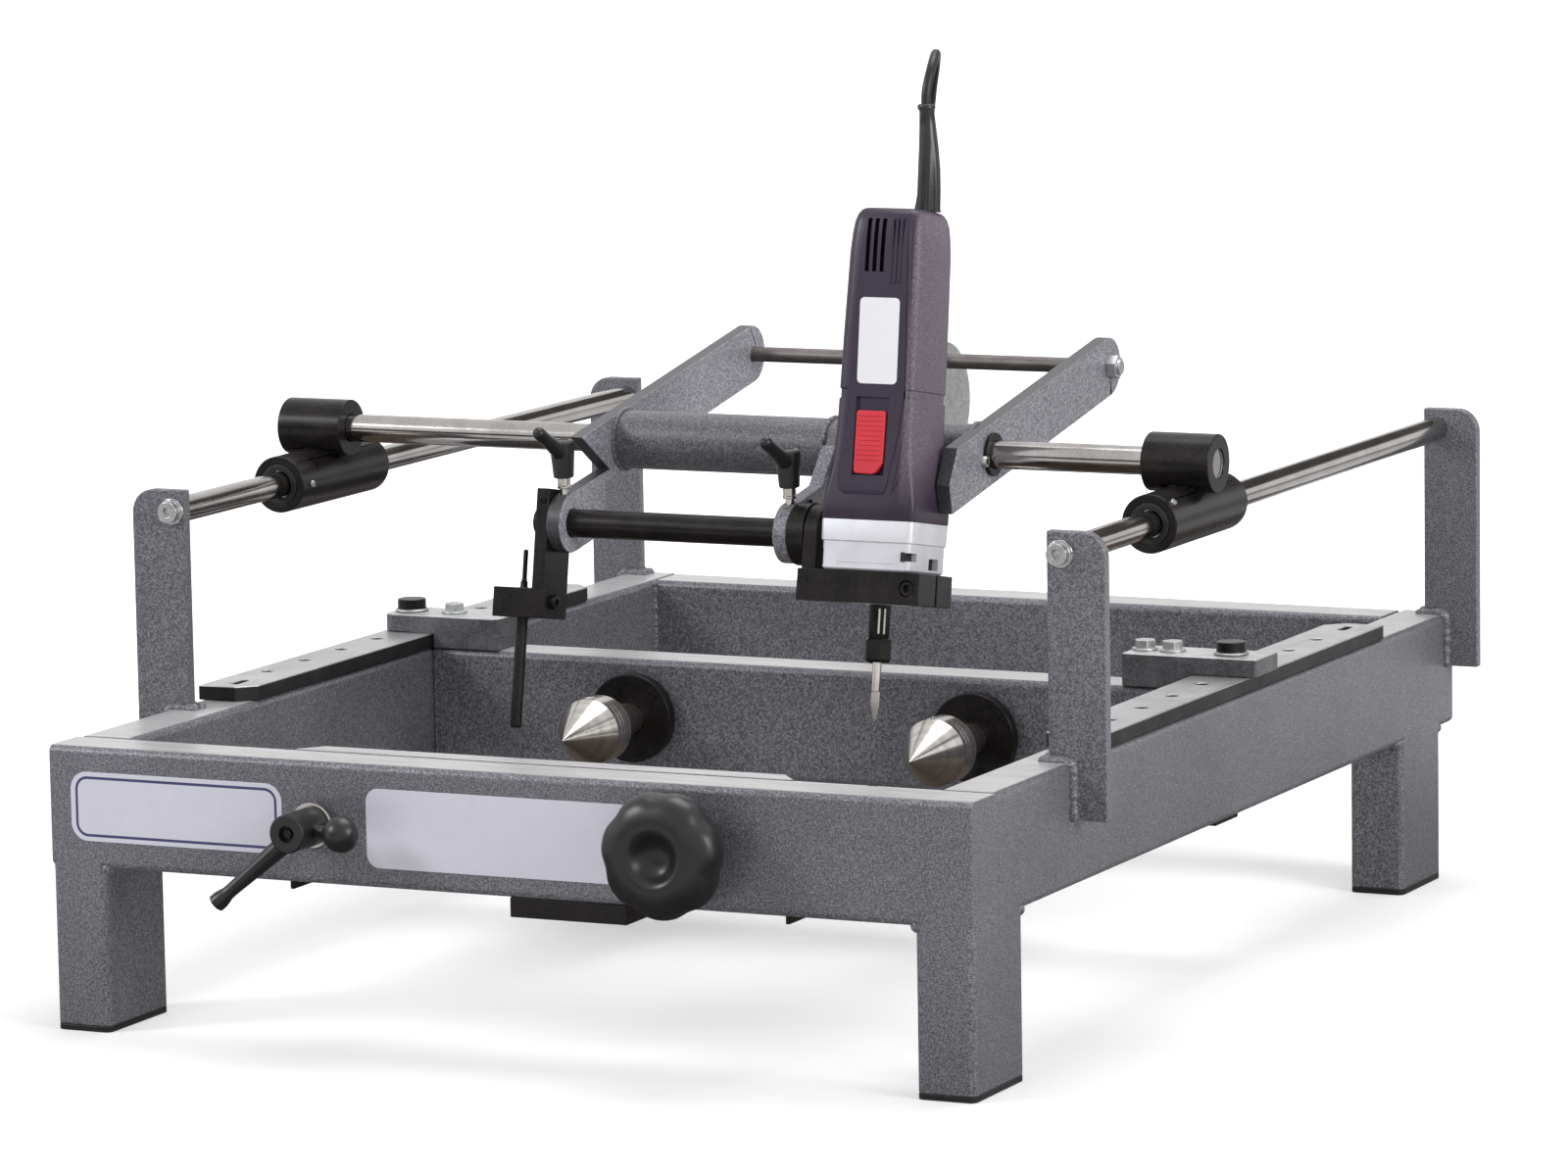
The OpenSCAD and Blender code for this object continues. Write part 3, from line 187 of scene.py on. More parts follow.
class Finish(Wiring):
    """One material and the nodes that give it its detail. slot is not used."""

    def __init__(self, name, slot=None, **fixed):
        self.material = bpy.data.materials.new(name)
        self.material.use_nodes = True
        self.tree = self.material.node_tree
        self.shader = next(n for n in self.tree.nodes if n.type == "BSDF_PRINCIPLED")
        for socket, value in fixed.items():
            self.shader.inputs[socket.replace("_", " ")].default_value = value

    def place(self, stretch=(1.0, 1.0, 1.0)):
        """Where a point lies on the piece. A small stretch draws a pattern out along that axis."""
        where = self.node("ShaderNodeTexCoord", out="Object")
        return self.node("ShaderNodeMapping", None, {"Vector": where, "Scale": stretch})

    def along(self, axis):
        return self.node("ShaderNodeSeparateXYZ", None, {0: self.place()}, out=axis)

    def noise(self, size, detail=2.0, rough=0.5, stretch=(1.0, 1.0, 1.0)):
        """Cloudy noise whose lumps are about size millimetres across."""
        sockets = {"Vector": self.place(stretch), "Scale": 1000.0 / size, "Detail": detail,
                   "Roughness": rough}
        return self.node("ShaderNodeTexNoise", None, sockets)

    def cells(self, size):
        return self.node("ShaderNodeTexVoronoi", None, {"Vector": self.place(), "Scale": 1000.0 / size})

    def ramp(self, factor, stops):
        return self.node("ShaderNodeValToRGB", {"stops": stops}, {0: factor})

    def mix(self, factor, first, second):
        """Blends two colours, whose sockets are the mix node's seventh and eighth."""
        return self.node("ShaderNodeMix", {"data_type": "RGBA"}, {0: factor, 6: first, 7: second}, out=2)

    def wear(self, colour=None, roughness=None, metallic=None, height=None, depth=0.05, strength=0.5):
        """Feeds the shader. depth is the height of the bump in millimetres."""
        for socket, value in (("Base Color", colour), ("Roughness", roughness), ("Metallic", metallic)):
            if value is not None:
                self.feed(self.shader.inputs[socket], value)
        if height is not None:
            sockets = {"Strength": strength, "Distance": depth * MM, "Height": height}
            self.feed(self.shader.inputs["Normal"], self.node("ShaderNodeBump", None, sockets))
        return self.material


def hammered_paint(name="hammered_grey_paint", light=1.0, rubbed=True, plate=None):
    """Grey hammertone. Where rubbed, the flat tops of the beams are bright, partly worn and partly a painted
    reflection, and the rounded edge above the labels has bright specks.
    plate is the middle in X, in metres, of an arm's flat plate, whose edges get painted shade and are darker
    than its sides."""
    f = Finish(name, "grey_paint", Metallic=0.1, Coat_Weight=0.2, Coat_Roughness=0.25)
    grain = f.noise(1.15, 1.0, 0.5)
    dimple = f.noise(2.8, 2.0, 0.5)
    cloud = f.noise(130.0, 2.0)
    tone = grain * 0.7 + dimple * 0.18 + cloud * 0.12
    # light scales every shade of the paint; the lighter and darker copies made with it are painted light and
    # painted shade.
    shades = [tuple(light * c for c in shade) for shade in
              ((0.068, 0.067, 0.078), (0.132, 0.131, 0.151), (0.232, 0.231, 0.256))]
    painted = f.ramp(tone, [(0.38, shades[0]), (0.5, shades[1]), (0.63, shades[2])])
    bump = {"height": dimple * 0.4 + grain * 0.6, "depth": 0.16, "strength": 0.6}
    if plate is not None:
        # Painted shade: the narrow edges of an arm's plate are darkened, while its broad sides keep the
        # paint.
        off = f.along("X") - plate
        near, far = (ARM_HALF - 0.6) * MM, (ARM_HALF - 0.1) * MM
        side = (off * off).above(near**2, far**2 - near**2)
        painted = f.mix(side, f.mix(0.9, painted, (0.012, 0.011, 0.013)), painted)
    if not rubbed:
        return f.wear(painted, 0.34 + 0.2 * grain, **bump)
    scratch = f.noise(1.2, 3.0, 0.6, (0.03, 1.0, 1.0))
    y, z = f.along("Y"), f.along("Z")
    # Painted reflection and wear: a bright band along the flat tops of the beams.
    top = z.past(BEAM_TOP - 0.3, 0.15) * (1.0 - z.past(BEAM_TOP + 0.1, 0.1))
    # Bright specks on the rounded edge above the labels.
    bright_speck = f.noise(1.4, 2.0).above(0.6, 0.09) * z.past(BEAM_TOP - 3.8, 0.5) * 0.8
    bright_speck = bright_speck * (1.0 - z.past(BEAM_TOP - 1.4, 0.4)) * (1.0 - y.past(FRONT_Y + 4.5, 0.4))
    bright = f.ramp(scratch, [(0.35, (0.36, 0.35, 0.355)), (0.65, (0.56, 0.545, 0.55))])
    return f.wear(f.mix(top.most(bright_speck), painted, bright), 0.34 + 0.2 * grain - 0.08 * top, **bump)


def blackened_steel(name="blackened_steel", stretch=(1.0, 1.0, 1.0)):
    f = Finish(name, "black_steel", Metallic=0.3, Specular_IOR_Level=0.25)
    streak = f.noise(2.2, 3.0, 0.6, stretch)
    cloud = f.noise(22.0, 4.0, 0.6)
    dark, brown = (0.006, 0.0055, 0.0065), (0.026, 0.021, 0.02)
    colour = f.ramp(streak * 0.45 + cloud * 0.55, [(0.35, dark), (0.7, brown)])
    return f.wear(colour, 0.19 + 0.16 * cloud + 0.05 * streak, height=streak, depth=0.012, strength=0.3)


def rod_with_nuts(inner, outer):
    """A dull dark rod between the arms, from inner to outer along X, with bright nuts past them."""
    f = Finish("dull_rod_with_nuts", "zinc", Metallic=0.85)
    x = f.along("X")
    nuts = (1.0 - x.past(inner, 0.4)).most(x.past(outer, 0.4))
    streak = f.noise(1.6, 3.0, 0.6, (0.06, 1.0, 1.0))
    cloud = f.noise(14.0, 4.0, 0.6)
    dull = f.ramp(streak * 0.5 + cloud * 0.5, [(0.3, (0.1, 0.088, 0.086)), (0.7, (0.2, 0.185, 0.18))])
    bright = f.ramp(cloud, [(0.3, (0.4, 0.4, 0.41)), (0.7, (0.6, 0.61, 0.61))])
    rough = 0.4 - 0.12 * nuts + 0.1 * cloud
    return f.wear(f.mix(nuts, dull, bright), rough, height=streak, depth=0.02, strength=0.3)


def turned_steel():
    """Bright steel with the fine rings of the lathe, along Y."""
    f = Finish("turned_steel", "bright_steel", Metallic=0.96)
    y = f.along("Y")
    one_way = {"noise_dimensions": "1D"}
    rings, bands = (f.node("ShaderNodeTexNoise", one_way, {"W": y, "Scale": scale, "Detail": detail})
                    for scale, detail in ((2600.0, 2.0), (140.0, 1.0)))
    colour = f.ramp(rings * 0.35 + bands * 0.65, [(0.35, (0.43, 0.405, 0.38)), (0.65, (0.6, 0.575, 0.55))])
    return f.wear(colour, 0.14 + 0.1 * rings, height=rings, depth=0.006, strength=0.35)


def chromed_rod():
    f = Finish("chromed_rod", "chrome_rod", Metallic=1.0)
    haze = f.noise(40.0, 3.0, 0.6)
    fine = f.noise(1.5, 2.0, 0.5, (1.0, 0.05, 1.0))
    colour = f.ramp(haze * 0.7 + fine * 0.3, [(0.35, (0.36, 0.34, 0.325)), (0.7, (0.5, 0.485, 0.475))])
    return f.wear(colour, 0.1 + 0.08 * haze, height=fine, depth=0.004, strength=0.25)


def zinc_plate(name="zinc_plate", dark=None, rough=0.28, slot="zinc"):
    """Bright zinc. What lies between the two heights, where they are given, is blackened."""
    f = Finish(name, slot, Metallic=0.85)
    spangle = f.cells(3.2)
    cloud = f.noise(9.0, 4.0, 0.6)
    colour = f.ramp(spangle * 0.3 + cloud * 0.7, [(0.3, (0.36, 0.365, 0.37)), (0.7, (0.56, 0.57, 0.57))])
    if dark:
        z = f.along("Z")
        black = z.past(dark[0], 0.3) * (1.0 - z.past(dark[1], 0.3))
        colour = f.mix(black, colour, (0.02, 0.018, 0.018))
    return f.wear(colour, rough + 0.2 * cloud, height=cloud, depth=0.03, strength=0.3)


def milled_plate(top):
    """Grey steel plate, milled bright on its upper face, which lies at the height top."""
    f = Finish("milled_plate", "zinc")
    milled = f.along("Z").past(top - 0.5, 0.2)
    grain = f.noise(1.15, 1.0, 0.5)
    cloud = f.noise(14.0, 4.0, 0.6)
    side = f.ramp(grain * 0.5 + cloud * 0.5, [(0.38, (0.068, 0.067, 0.074)), (0.62, (0.15, 0.149, 0.16))])
    face = f.ramp(cloud, [(0.3, (0.46, 0.46, 0.47)), (0.7, (0.62, 0.62, 0.63))])
    colour = f.mix(milled, side, face)
    return f.wear(colour, 0.42 + 0.1 * cloud, 0.2 + 0.6 * milled, height=grain, depth=0.03, strength=0.3)


def cast_alloy():
    f = Finish("cast_alloy", "alloy", Metallic=0.25)
    grain = f.noise(0.7, 3.0, 0.6)
    cloud = f.noise(18.0, 3.0)
    colour = f.ramp(grain * 0.4 + cloud * 0.6, [(0.3, (0.6, 0.6, 0.64)), (0.7, (0.76, 0.76, 0.8))])
    return f.wear(colour, 0.36 + 0.16 * grain, height=grain, depth=0.04, strength=0.35)


def worn_strip(high):
    """Blackened sides, and a top, at the height given, that sliding and wiping have rubbed bright."""
    f = Finish("worn_strip_steel", "strip_steel")
    scratch = f.noise(1.4, 3.0, 0.6, (1.0, 0.06, 1.0))
    cloud = f.noise(26.0, 4.0, 0.6)
    top = f.along("Z").past(high - 0.9, 0.5)
    bright = f.ramp(scratch * 0.5 + cloud * 0.5, [(0.3, (0.36, 0.36, 0.37)), (0.7, (0.6, 0.6, 0.61))])
    dark = f.ramp(cloud, [(0.35, (0.014, 0.014, 0.016)), (0.7, (0.036, 0.034, 0.034))])
    colour = f.mix(top, dark, bright)
    return f.wear(colour, 0.42 - 0.1 * top + 0.12 * scratch, 0.5 + 0.3 * top, scratch, 0.02, 0.35)


def moulded(name, slot, low, high, rough=0.42, grain=0.55, depth=0.06, **fixed):
    """Plastic with the fine grain of an etched mould."""
    f = Finish(name, slot, **fixed)
    fine = f.noise(grain, 2.0, 0.6)
    cloud = f.noise(35.0, 3.0)
    colour = f.ramp(fine * 0.6 + cloud * 0.4, [(0.32, low), (0.68, high)])
    return f.wear(colour, rough + 0.16 * fine, height=fine, depth=depth, strength=0.5)


def grip_plastic():
    """Dark aubergine plastic. Right of the ridge the mould was etched to a fine grain, and that side is
    painted lighter as painted light, dark again towards the foot.
    """
    f = Finish("aubergine_plastic", "motor_plastic", Specular_IOR_Level=0.4)
    fine = f.noise(0.8, 2.0, 0.6)
    cloud = f.noise(30.0, 3.0)
    smooth = f.ramp(fine * 0.5 + cloud * 0.5, [(0.32, (0.02, 0.012, 0.026)), (0.68, (0.046, 0.03, 0.055))])
    etched = f.ramp(fine, [(0.34, (0.062, 0.045, 0.068)), (0.5, (0.115, 0.09, 0.12)),
                           (0.66, (0.22, 0.185, 0.225))])
    # Painted light: right of the ridge and above the foot the shell is lighter.
    grip = f.along("X").past(MOTOR_X + 20.6, 2.2) * f.along("Z").past(333.0, 34.0)
    rough = 0.3 + 0.14 * fine + 0.1 * grip
    return f.wear(f.mix(grip, smooth, etched), rough, height=fine, depth=0.12, strength=0.5)


def label_film(name, boxes, line):
    """White film. Each box is a rounded outline, and line is the width of its printed border."""
    f = Finish(name, "label_white", Roughness=0.3, Coat_Weight=0.3)
    x, z = f.along("X"), f.along("Z")
    cloud = f.noise(12.0, 3.0)
    ink = 0.0 * x  # no ink yet
    for (x0, x1, z0, z1), r in boxes:
        half_w, half_h = (x1 - x0) / 2 - r, (z1 - z0) / 2 - r
        dx = (abs(x - (x0 + x1) / 2 * MM) - half_w * MM).most(0.0)
        dz = (abs(z - (z0 + z1) / 2 * MM) - half_h * MM).most(0.0)
        edge = abs((dx * dx + dz * dz) ** 0.5 - r * MM)
        ink = ink.most(1.0 - edge.above(line / 2 * MM, 0.15 * MM))
    white = f.ramp(cloud, [(0.3, (0.6, 0.595, 0.675)), (0.7, (0.625, 0.62, 0.695))])
    return f.wear(f.mix(ink, white, (0.035, 0.03, 0.13)), 0.28 + 0.12 * cloud)


paint = hammered_paint()
post_paint = hammered_paint("post_grey_paint", 1.0, False)
# Painted shade: a darker copy of the grey paint for the hub tube.
tube_painted_shade = hammered_paint("tube_painted_shade_grey_paint", 0.82, False)
# Painted light: a lighter copy of the grey paint for the middle arm.
middle_arm_painted_light_paint = hammered_paint("middle_arm_painted_light_paint", 1.3, False)
dull_rod = rod_with_nuts(-86.5, 173.8)
black_steel = blackened_steel()
black_bar = blackened_steel("blackened_bar", (0.05, 1.0, 1.0))
steel = turned_steel()
chrome = chromed_rod()
zinc = zinc_plate()
bolt_zinc = zinc_plate("bolt_zinc", (0.0, BEAM_TOP))
bright_zinc = zinc_plate("bright_zinc", rough=0.1)
pin_zinc = zinc_plate("pin_zinc", (WASHER_TOP, 230.0), slot="black_plastic")
alloy = cast_alloy()
strip = worn_strip(STRIP_TOP)
black_plastic = moulded("black_plastic", "black_plastic", (0.008, 0.008, 0.009), (0.02, 0.02, 0.022), 0.26,
                        0.8, 0.04, Specular_IOR_Level=0.4)
motor_plastic = grip_plastic()
# Painted shade: near black plastic for the blocks set inside the vents and the nose's notches.
painted_shade_plastic = moulded("vent_shadow", "motor_plastic", (0.004, 0.003, 0.005), (0.012, 0.009, 0.014), 0.6)
switch_red = moulded("switch_red", "switch_red", (0.55, 0.02, 0.035), (0.8, 0.035, 0.06), 0.3, 0.6, 0.03)
rubber = moulded("black_rubber", "black_rubber", (0.008, 0.008, 0.008), (0.022, 0.022, 0.023), 0.45, 0.9,
                 0.06, Specular_IOR_Level=0.35)
boot_rubber = moulded("boot_rubber", "black_rubber", (0.008, 0.007, 0.009), (0.02, 0.018, 0.022), 0.2, 1.2,
                      0.02, Specular_IOR_Level=0.5)
sheath = moulded("cord_sheath", "black_rubber", (0.007, 0.007, 0.008), (0.018, 0.018, 0.019), 0.28, 1.6, 0.02,
                 Specular_IOR_Level=0.35)
panel_plastic = moulded("panel_plastic", "motor_plastic", (0.02, 0.012, 0.03), (0.038, 0.025, 0.053), 0.32,
                        0.8, 0.05, Specular_IOR_Level=0.35)
plate_white = moulded("plate_white", "label_white", (0.84, 0.84, 0.87), (0.9, 0.9, 0.93), 0.34, 0.9, 0.01)
left_film = label_film("left_label_film", [((-308.5, -160.5, 130.9, 168.9), 8.0)], 1.7)
plain_film = label_film("plain_label_film", [], 1.0)


# Shapes


class Shape:
    """A closed mesh in the making, in millimetres, in its own place."""

    def __init__(self, place=None):
        self.bm, self.place = bmesh.new(), place or Matrix()

    def ring(self, points):
        return [self.bm.verts.new(self.place @ Vector(p)) for p in points]

    def skin(self, rings, caps=True):
        """Joins rings of equal length into a skin. A ring of one point is a tip."""
        made = [self.ring(r) for r in rings]
        for a, b in zip(made, made[1:]):
            n = max(len(a), len(b))
            for k in range(n):
                j = (k + 1) % n
                corners = [a[k % len(a)], a[j % len(a)], b[j % len(b)], b[k % len(b)]]
                corners = [c for i, c in enumerate(corners) if c not in corners[:i]]
                self.bm.faces.new(corners)
        if caps:
            for end in (made[0], made[-1]):
                if len(end) > 2:
                    self.bm.faces.new(end)

    def turned(self, profile, axis="Z", steps=48, at=(0, 0, 0)):
        """A lathe form. profile is pairs of radius and place along the axis.
        A profile that ends where it starts makes a ring."""
        rings = []
        for radius, along in profile:
            points = []
            for a in angles(steps) if radius > 0 else [0.0]:
                u, v = radius * cos(a), radius * sin(a)
                point = {"X": (along, u, v), "Y": (u, along, v), "Z": (u, v, along)}[axis]
                points.append(Vector(point) + Vector(at))
            rings.append(points)
        self.skin(rings, caps=profile[0] != profile[-1])
        return self

    def slab(self, outline, low, high):
        """A flat plate from y = low to y = high, with its outline in X and Z."""
        self.skin([[(x, y, z) for x, z in outline] for y in (low, high)])
        return self

    def block(self, low, high):
        (x0, y0, z0), (x1, y1, z1) = low, high
        lower = [(x0, y0, z0), (x1, y0, z0), (x1, y1, z0), (x0, y1, z0)]
        self.skin([lower, [(x, y, z1) for x, y, z in lower]])

    def mesh(self, name):
        """Ends the shape and gives its mesh, in metres."""
        bmesh.ops.recalc_face_normals(self.bm, faces=self.bm.faces)
        bmesh.ops.scale(self.bm, vec=(MM, MM, MM), verts=self.bm.verts)
        mesh = bpy.data.meshes.new(name)
        self.bm.to_mesh(mesh)
        self.bm.free()
        return mesh

    def piece(self, name, body, finish, stands_for=(), bevel=0.0, segments=2, smooth=35):
        bmesh.ops.remove_doubles(self.bm, verts=self.bm.verts, dist=1e-4)
        return settle(name, self.mesh(name), body, finish, stands_for, bevel, segments, smooth)


def cut_out(obj, boxes, place):
    """Cuts boxes, given by their low and high corners, out of the object."""
    knife = Shape(place)
    for low, high in boxes:
        knife.block(low, high)
    tool = in_scene("knife", knife.mesh("knife"))
    made = obj.modifiers.new("cut", "BOOLEAN")
    made.operation, made.object, made.solver = "DIFFERENCE", tool, "EXACT"
    plain(obj)
    bpy.data.objects.remove(tool)
    obj.data.set_sharp_from_angle(angle=radians(32))


def round_outline(w, h, r, at=(0.0, 0.0), corner=7):
    """A rectangle with round corners, counterclockwise."""
    points = []
    for sx, sy, start in ((1, 1, 0), (-1, 1, 90), (-1, -1, 180), (1, -1, 270)):
        x, y = at[0] + sx * (w / 2 - r), at[1] + sy * (h / 2 - r)
        for k in range(corner + 1):
            a = radians(start + 90 * k / corner)
            points.append((x + r * cos(a), y + r * sin(a)))
    return points


class Repeat(Wiring):
    """A geometry tree made here, with its sizes as named inputs. It ends in plain mesh."""

    def __init__(self, name, **inputs):
        self.tree = bpy.data.node_groups.new(name, "GeometryNodeTree")
        face = self.tree.interface
        face.new_socket("seeds", in_out="INPUT", socket_type="NodeSocketGeometry")
        face.new_socket("made", in_out="OUTPUT", socket_type="NodeSocketGeometry")
        kinds = {float: "NodeSocketFloat", tuple: "NodeSocketVector"}
        for key, value in inputs.items():
            face.new_socket(key, in_out="INPUT", socket_type=kinds[type(value)]).default_value = value
        face.new_socket("finish", in_out="INPUT", socket_type="NodeSocketMaterial")
        self.given = self.tree.nodes.new("NodeGroupInput")

    def size(self, name):
        return Value(self, self.given.outputs[name])

    def close(self, geometry):
        real = self.node("GeometryNodeRealizeInstances", None, {0: geometry})
        painted = self.node("GeometryNodeSetMaterial", None,
                            {"Geometry": real, "Material": self.size("finish")})
        self.tree.links.new(painted.socket, self.tree.nodes.new("NodeGroupOutput").inputs[0])
        return self

    def grow(self, name, body, finish, points, edges=(), smooth=35, bevel=0.0, **sizes):
        """Runs the tree on points in millimetres, which edges may join into lines."""
        mesh = bpy.data.meshes.new(name)
        mesh.from_pydata([Vector(p) * MM for p in points], list(edges), [])
        obj = in_scene(name, mesh)
        growth = obj.modifiers.new("growth", "NODES")
        growth.node_group = self.tree
        sizes["finish"] = finish
        for item in self.tree.interface.items_tree:
            if item.in_out == "INPUT" and item.name in sizes:
                growth[item.identifier] = sizes[item.name]
        plain(obj)
        mesh = obj.data.copy()
        bpy.data.objects.remove(obj)
        return settle(name, mesh, body, finish, (), bevel, 2, smooth)


def bar_tree():
    """A bar on every point."""
    t = Repeat("bars_on_points", bar=(0.001, 0.001, 0.001), turn=(0.0, 0.0, 0.0))
    bar = t.node("GeometryNodeMeshCube", None, {"Size": t.size("bar")})
    placed = t.node("GeometryNodeInstanceOnPoints", None,
                    {"Points": t.size("seeds"), "Instance": bar, "Rotation": t.size("turn")})
    return t.close(placed)


def bead_tree():
    """A weld: flattened drops that lap over each other along every line."""
    t = Repeat("weld_bead", width=0.005, pitch=0.0014, uneven=0.18)
    line = t.node("GeometryNodeMeshToCurve", None, {0: t.size("seeds")})
    drops = t.node("GeometryNodeCurveToPoints", {"mode": "LENGTH"},
                   {"Curve": line, "Length": t.size("pitch")})
    turned = Value(t, drops.socket.node.outputs["Rotation"])
    drop = t.node("GeometryNodeMeshUVSphere", None, {"Segments": 10, "Rings": 6,
                                                     "Radius": 0.5 * t.size("width")})
    low, high = 1.0 - t.size("uneven"), 1.0 + t.size("uneven")
    grown = t.node("FunctionNodeRandomValue", {"data_type": "FLOAT"}, {2: low, 3: high, "Seed": 7}, out=1)
    placed = t.node("GeometryNodeInstanceOnPoints", None,
                    {"Points": drops, "Instance": drop, "Rotation": turned, "Scale": grown})
    return t.close(placed)


bars, beads = bar_tree(), bead_tree()


def shade_smooth(mesh, degrees):
    """Shades the mesh smooth, apart from the edges that turn by more than the angle."""
    mesh.polygons.foreach_set("use_smooth", [True] * len(mesh.polygons))
    mesh.set_sharp_from_angle(angle=radians(degrees))


def settle(name, mesh, body, finish, stands_for=(), bevel=0.0, segments=2, smooth=35):
    """Makes the mesh a finished piece that rides on its body."""
    obj = in_scene(name, mesh)
    if bevel:
        rounded = obj.modifiers.new("rounded", "BEVEL")
        rounded.width, rounded.segments = bevel * MM, segments
        rounded.limit_method, rounded.angle_limit = "ANGLE", radians(28)
        rounded.use_clamp_overlap = False
        obj.modifiers.new("flat_faces", "WEIGHTED_NORMAL").keep_sharp = True
    shade_smooth(mesh, 50 if bevel else smooth)
    plain(obj)
    obj.data.materials.clear()
    obj.data.materials.append(finish)
    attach(obj, body)
    if stands_for:
        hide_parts(*stands_for)
    return obj


def plain(obj):
    """Turns what the modifiers make into the object's own mesh."""
    if obj.modifiers:
        view = bpy.context.evaluated_depsgraph_get()
        made = bpy.data.meshes.new_from_object(obj.evaluated_get(view))
        obj.modifiers.clear()
        obj.data = made


def dress(node, finish, bevel=0.0):
    """Gives a solid its finish, on a copy with rounded edges where a bevel is asked for."""
    source = frame["nodes"][node]
    if not bevel:
        source.data.materials.clear()
        source.data.materials.append(finish)
        return source
    bm = bmesh.new()
    bm.from_mesh(source.data)
    bmesh.ops.remove_doubles(bm, verts=bm.verts, dist=2e-6)
    bmesh.ops.dissolve_limit(bm, angle_limit=radians(0.8), verts=bm.verts, edges=bm.edges)
    mesh = bpy.data.meshes.new(node + "_rounded")
    bm.to_mesh(mesh)
    bm.free()
    return settle(node + "_rounded", mesh, source["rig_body"], finish, [node], bevel)


# Camera
CAMERA_PLACE, CAMERA_HEADING, CAMERA_PITCH, CAMERA_ROLL = (2.1586, -4.5086, 0.9681), 25.432, 81.168, -0.968
camera = in_scene("camera", bpy.data.cameras.new("camera"))
camera.matrix_world = (shift(*CAMERA_PLACE) @ turn(CAMERA_HEADING, "Z") @ turn(CAMERA_PITCH, "X")
                       @ turn(CAMERA_ROLL, "Z"))
camera.data.lens, camera.data.sensor_width = 170.41, 36.0
camera.data.shift_x, camera.data.shift_y = -0.00336, 0.05607
camera.data.clip_start, camera.data.clip_end = 0.1, 100.0
scene.camera = camera


# Power cord


def curve_through(points, steps):
    """A smooth line through the points, with steps stretches between each two."""
    points = [Vector(p) for p in points]
    ends = [2 * points[0] - points[1]] + points + [2 * points[-1] - points[-2]]
    line = []
    for a, b, c, d in zip(ends, ends[1:], ends[2:], ends[3:]):
        for k in range(steps):
            t = k / steps
            pull = (c - a) * t + (2 * a - 5 * b + 4 * c - d) * t**2 + (3 * b - a - 3 * c + d) * t**3
            line.append(b + pull / 2)
    return line + [points[-1]]


def tube(shape, line, radii, sides=14):
    """A round skin along the line, whose rings don't twist."""
    rings, side = [], None
    for i, p in enumerate(line):
        ahead = (line[min(i + 1, len(line) - 1)] - line[max(i - 1, 0)]).normalized()
        if side is None:
            side = ahead.orthogonal().normalized()
        side = (side - ahead * side.dot(ahead)).normalized()
        other = ahead.cross(side)
        r = radii[i] if isinstance(radii, list) else radii
        rings.append([p + r * (side * cos(a) + other * sin(a)) for a in angles(sides)])
    shape.skin(rings)


def cord_piece(name, node, points, bodies, steps=4):
    """A stretch of the power cord, which rides on its one body, or is left unattached where it runs from one
    body to the next.
    """
    line = curve_through([(x, y + FRONT_Y, z) for x, y, z in points], steps)
    for p in line:
        p.z = max(p.z, CORD_D / 2)
    shape = Shape()
    tube(shape, line, CORD_D / 2)
    mesh = shape.mesh(name)
    shade_smooth(mesh, 50)
    mesh.materials.append(sheath)
    obj = in_scene(name, mesh)
    path = [p * MM for p in line]
    if len(bodies) == 2:
        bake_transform(obj)
    else:
        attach(obj, bodies[0])
    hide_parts(node)
    length = sum((b - a).length for a, b in zip(path, path[1:]))


MOTOR_POINTS = [
    (152.5, 337.5, 588), (152.5, 338.5, 597.5), (153, 342, 606.5), (152.5, 348.5, 614.5), (150, 358, 619.5),
    (146, 369, 620), (141, 380, 616.5), (136, 389, 608), (131.5, 395, 597), (127.5, 400, 583),
    (123.5, 405.5, 568), (119, 412.5, 552), (113, 421.5, 535), (105, 433, 518), (95, 447, 501),
    (83, 464, 484), (70, 483, 467), (54, 506, 446), (35, 534, 421), (20, 556, 406), (12, 568, 400.8),
]
YOKE_POINTS = [(12, 568, 400.8), (0, 585, 396.5), (-11, 605, 384), (-21, 625, 362), (-29, 641, 335)]
MIDDLE_POINTS = [(-29, 641, 335), (-34, 650, 318), (-38, 658, 300), (-41, 664, 284)]
FLOOR_POINTS = [
    (-41, 664, 284), (-45, 673, 260), (-49, 682, 230), (-54, 691, 190), (-59, 699, 150), (-64, 708, 110),
    (-69, 719, 76), (-75, 731, 48), (-80, 744, 24), (-83, 755, 11), (-84, 767, 4.5), (-84, 780, 3.3),
]
COIL_X, COIL_Y, COIL_R, COIL_PITCH, COIL_TURNS, COIL_TAIL = -36.0, 790.0, 48.0, 7.0, 6.5, 36.0


def coil_point(t):
    """The coil winds inwards, climbs one layer and winds outwards again."""
    r = COIL_R - COIL_PITCH * min(t, COIL_TURNS - t)
    s = max(0.0, min(1.0, (t - 3) / 0.5))
    a = 2 * pi * t
    return (COIL_X - r * cos(a), COIL_Y + r * sin(a), CORD_D / 2 + COIL_PITCH * s * s * (3 - 2 * s))


coil_turn = [coil_point(i / 24) for i in range(int(COIL_TURNS * 24) + 1)]
start, end = coil_turn[0], coil_turn[-1]
COIL_POINTS = [(start[0], start[1] - 10, start[2])] + coil_turn
COIL_POINTS += [(end[0], end[1] - COIL_TAIL * k / 3, end[2]) for k in (1, 2, 3)]


def squarish(a, across, up, w=1.0, h=1.0):
    """A point at the angle a on an oval, whose sides get flatter as the two powers fall."""
    u, v = cos(a), sin(a)
    return copysign(abs(u) ** across, u) * w, copysign(abs(v) ** up, v) * h


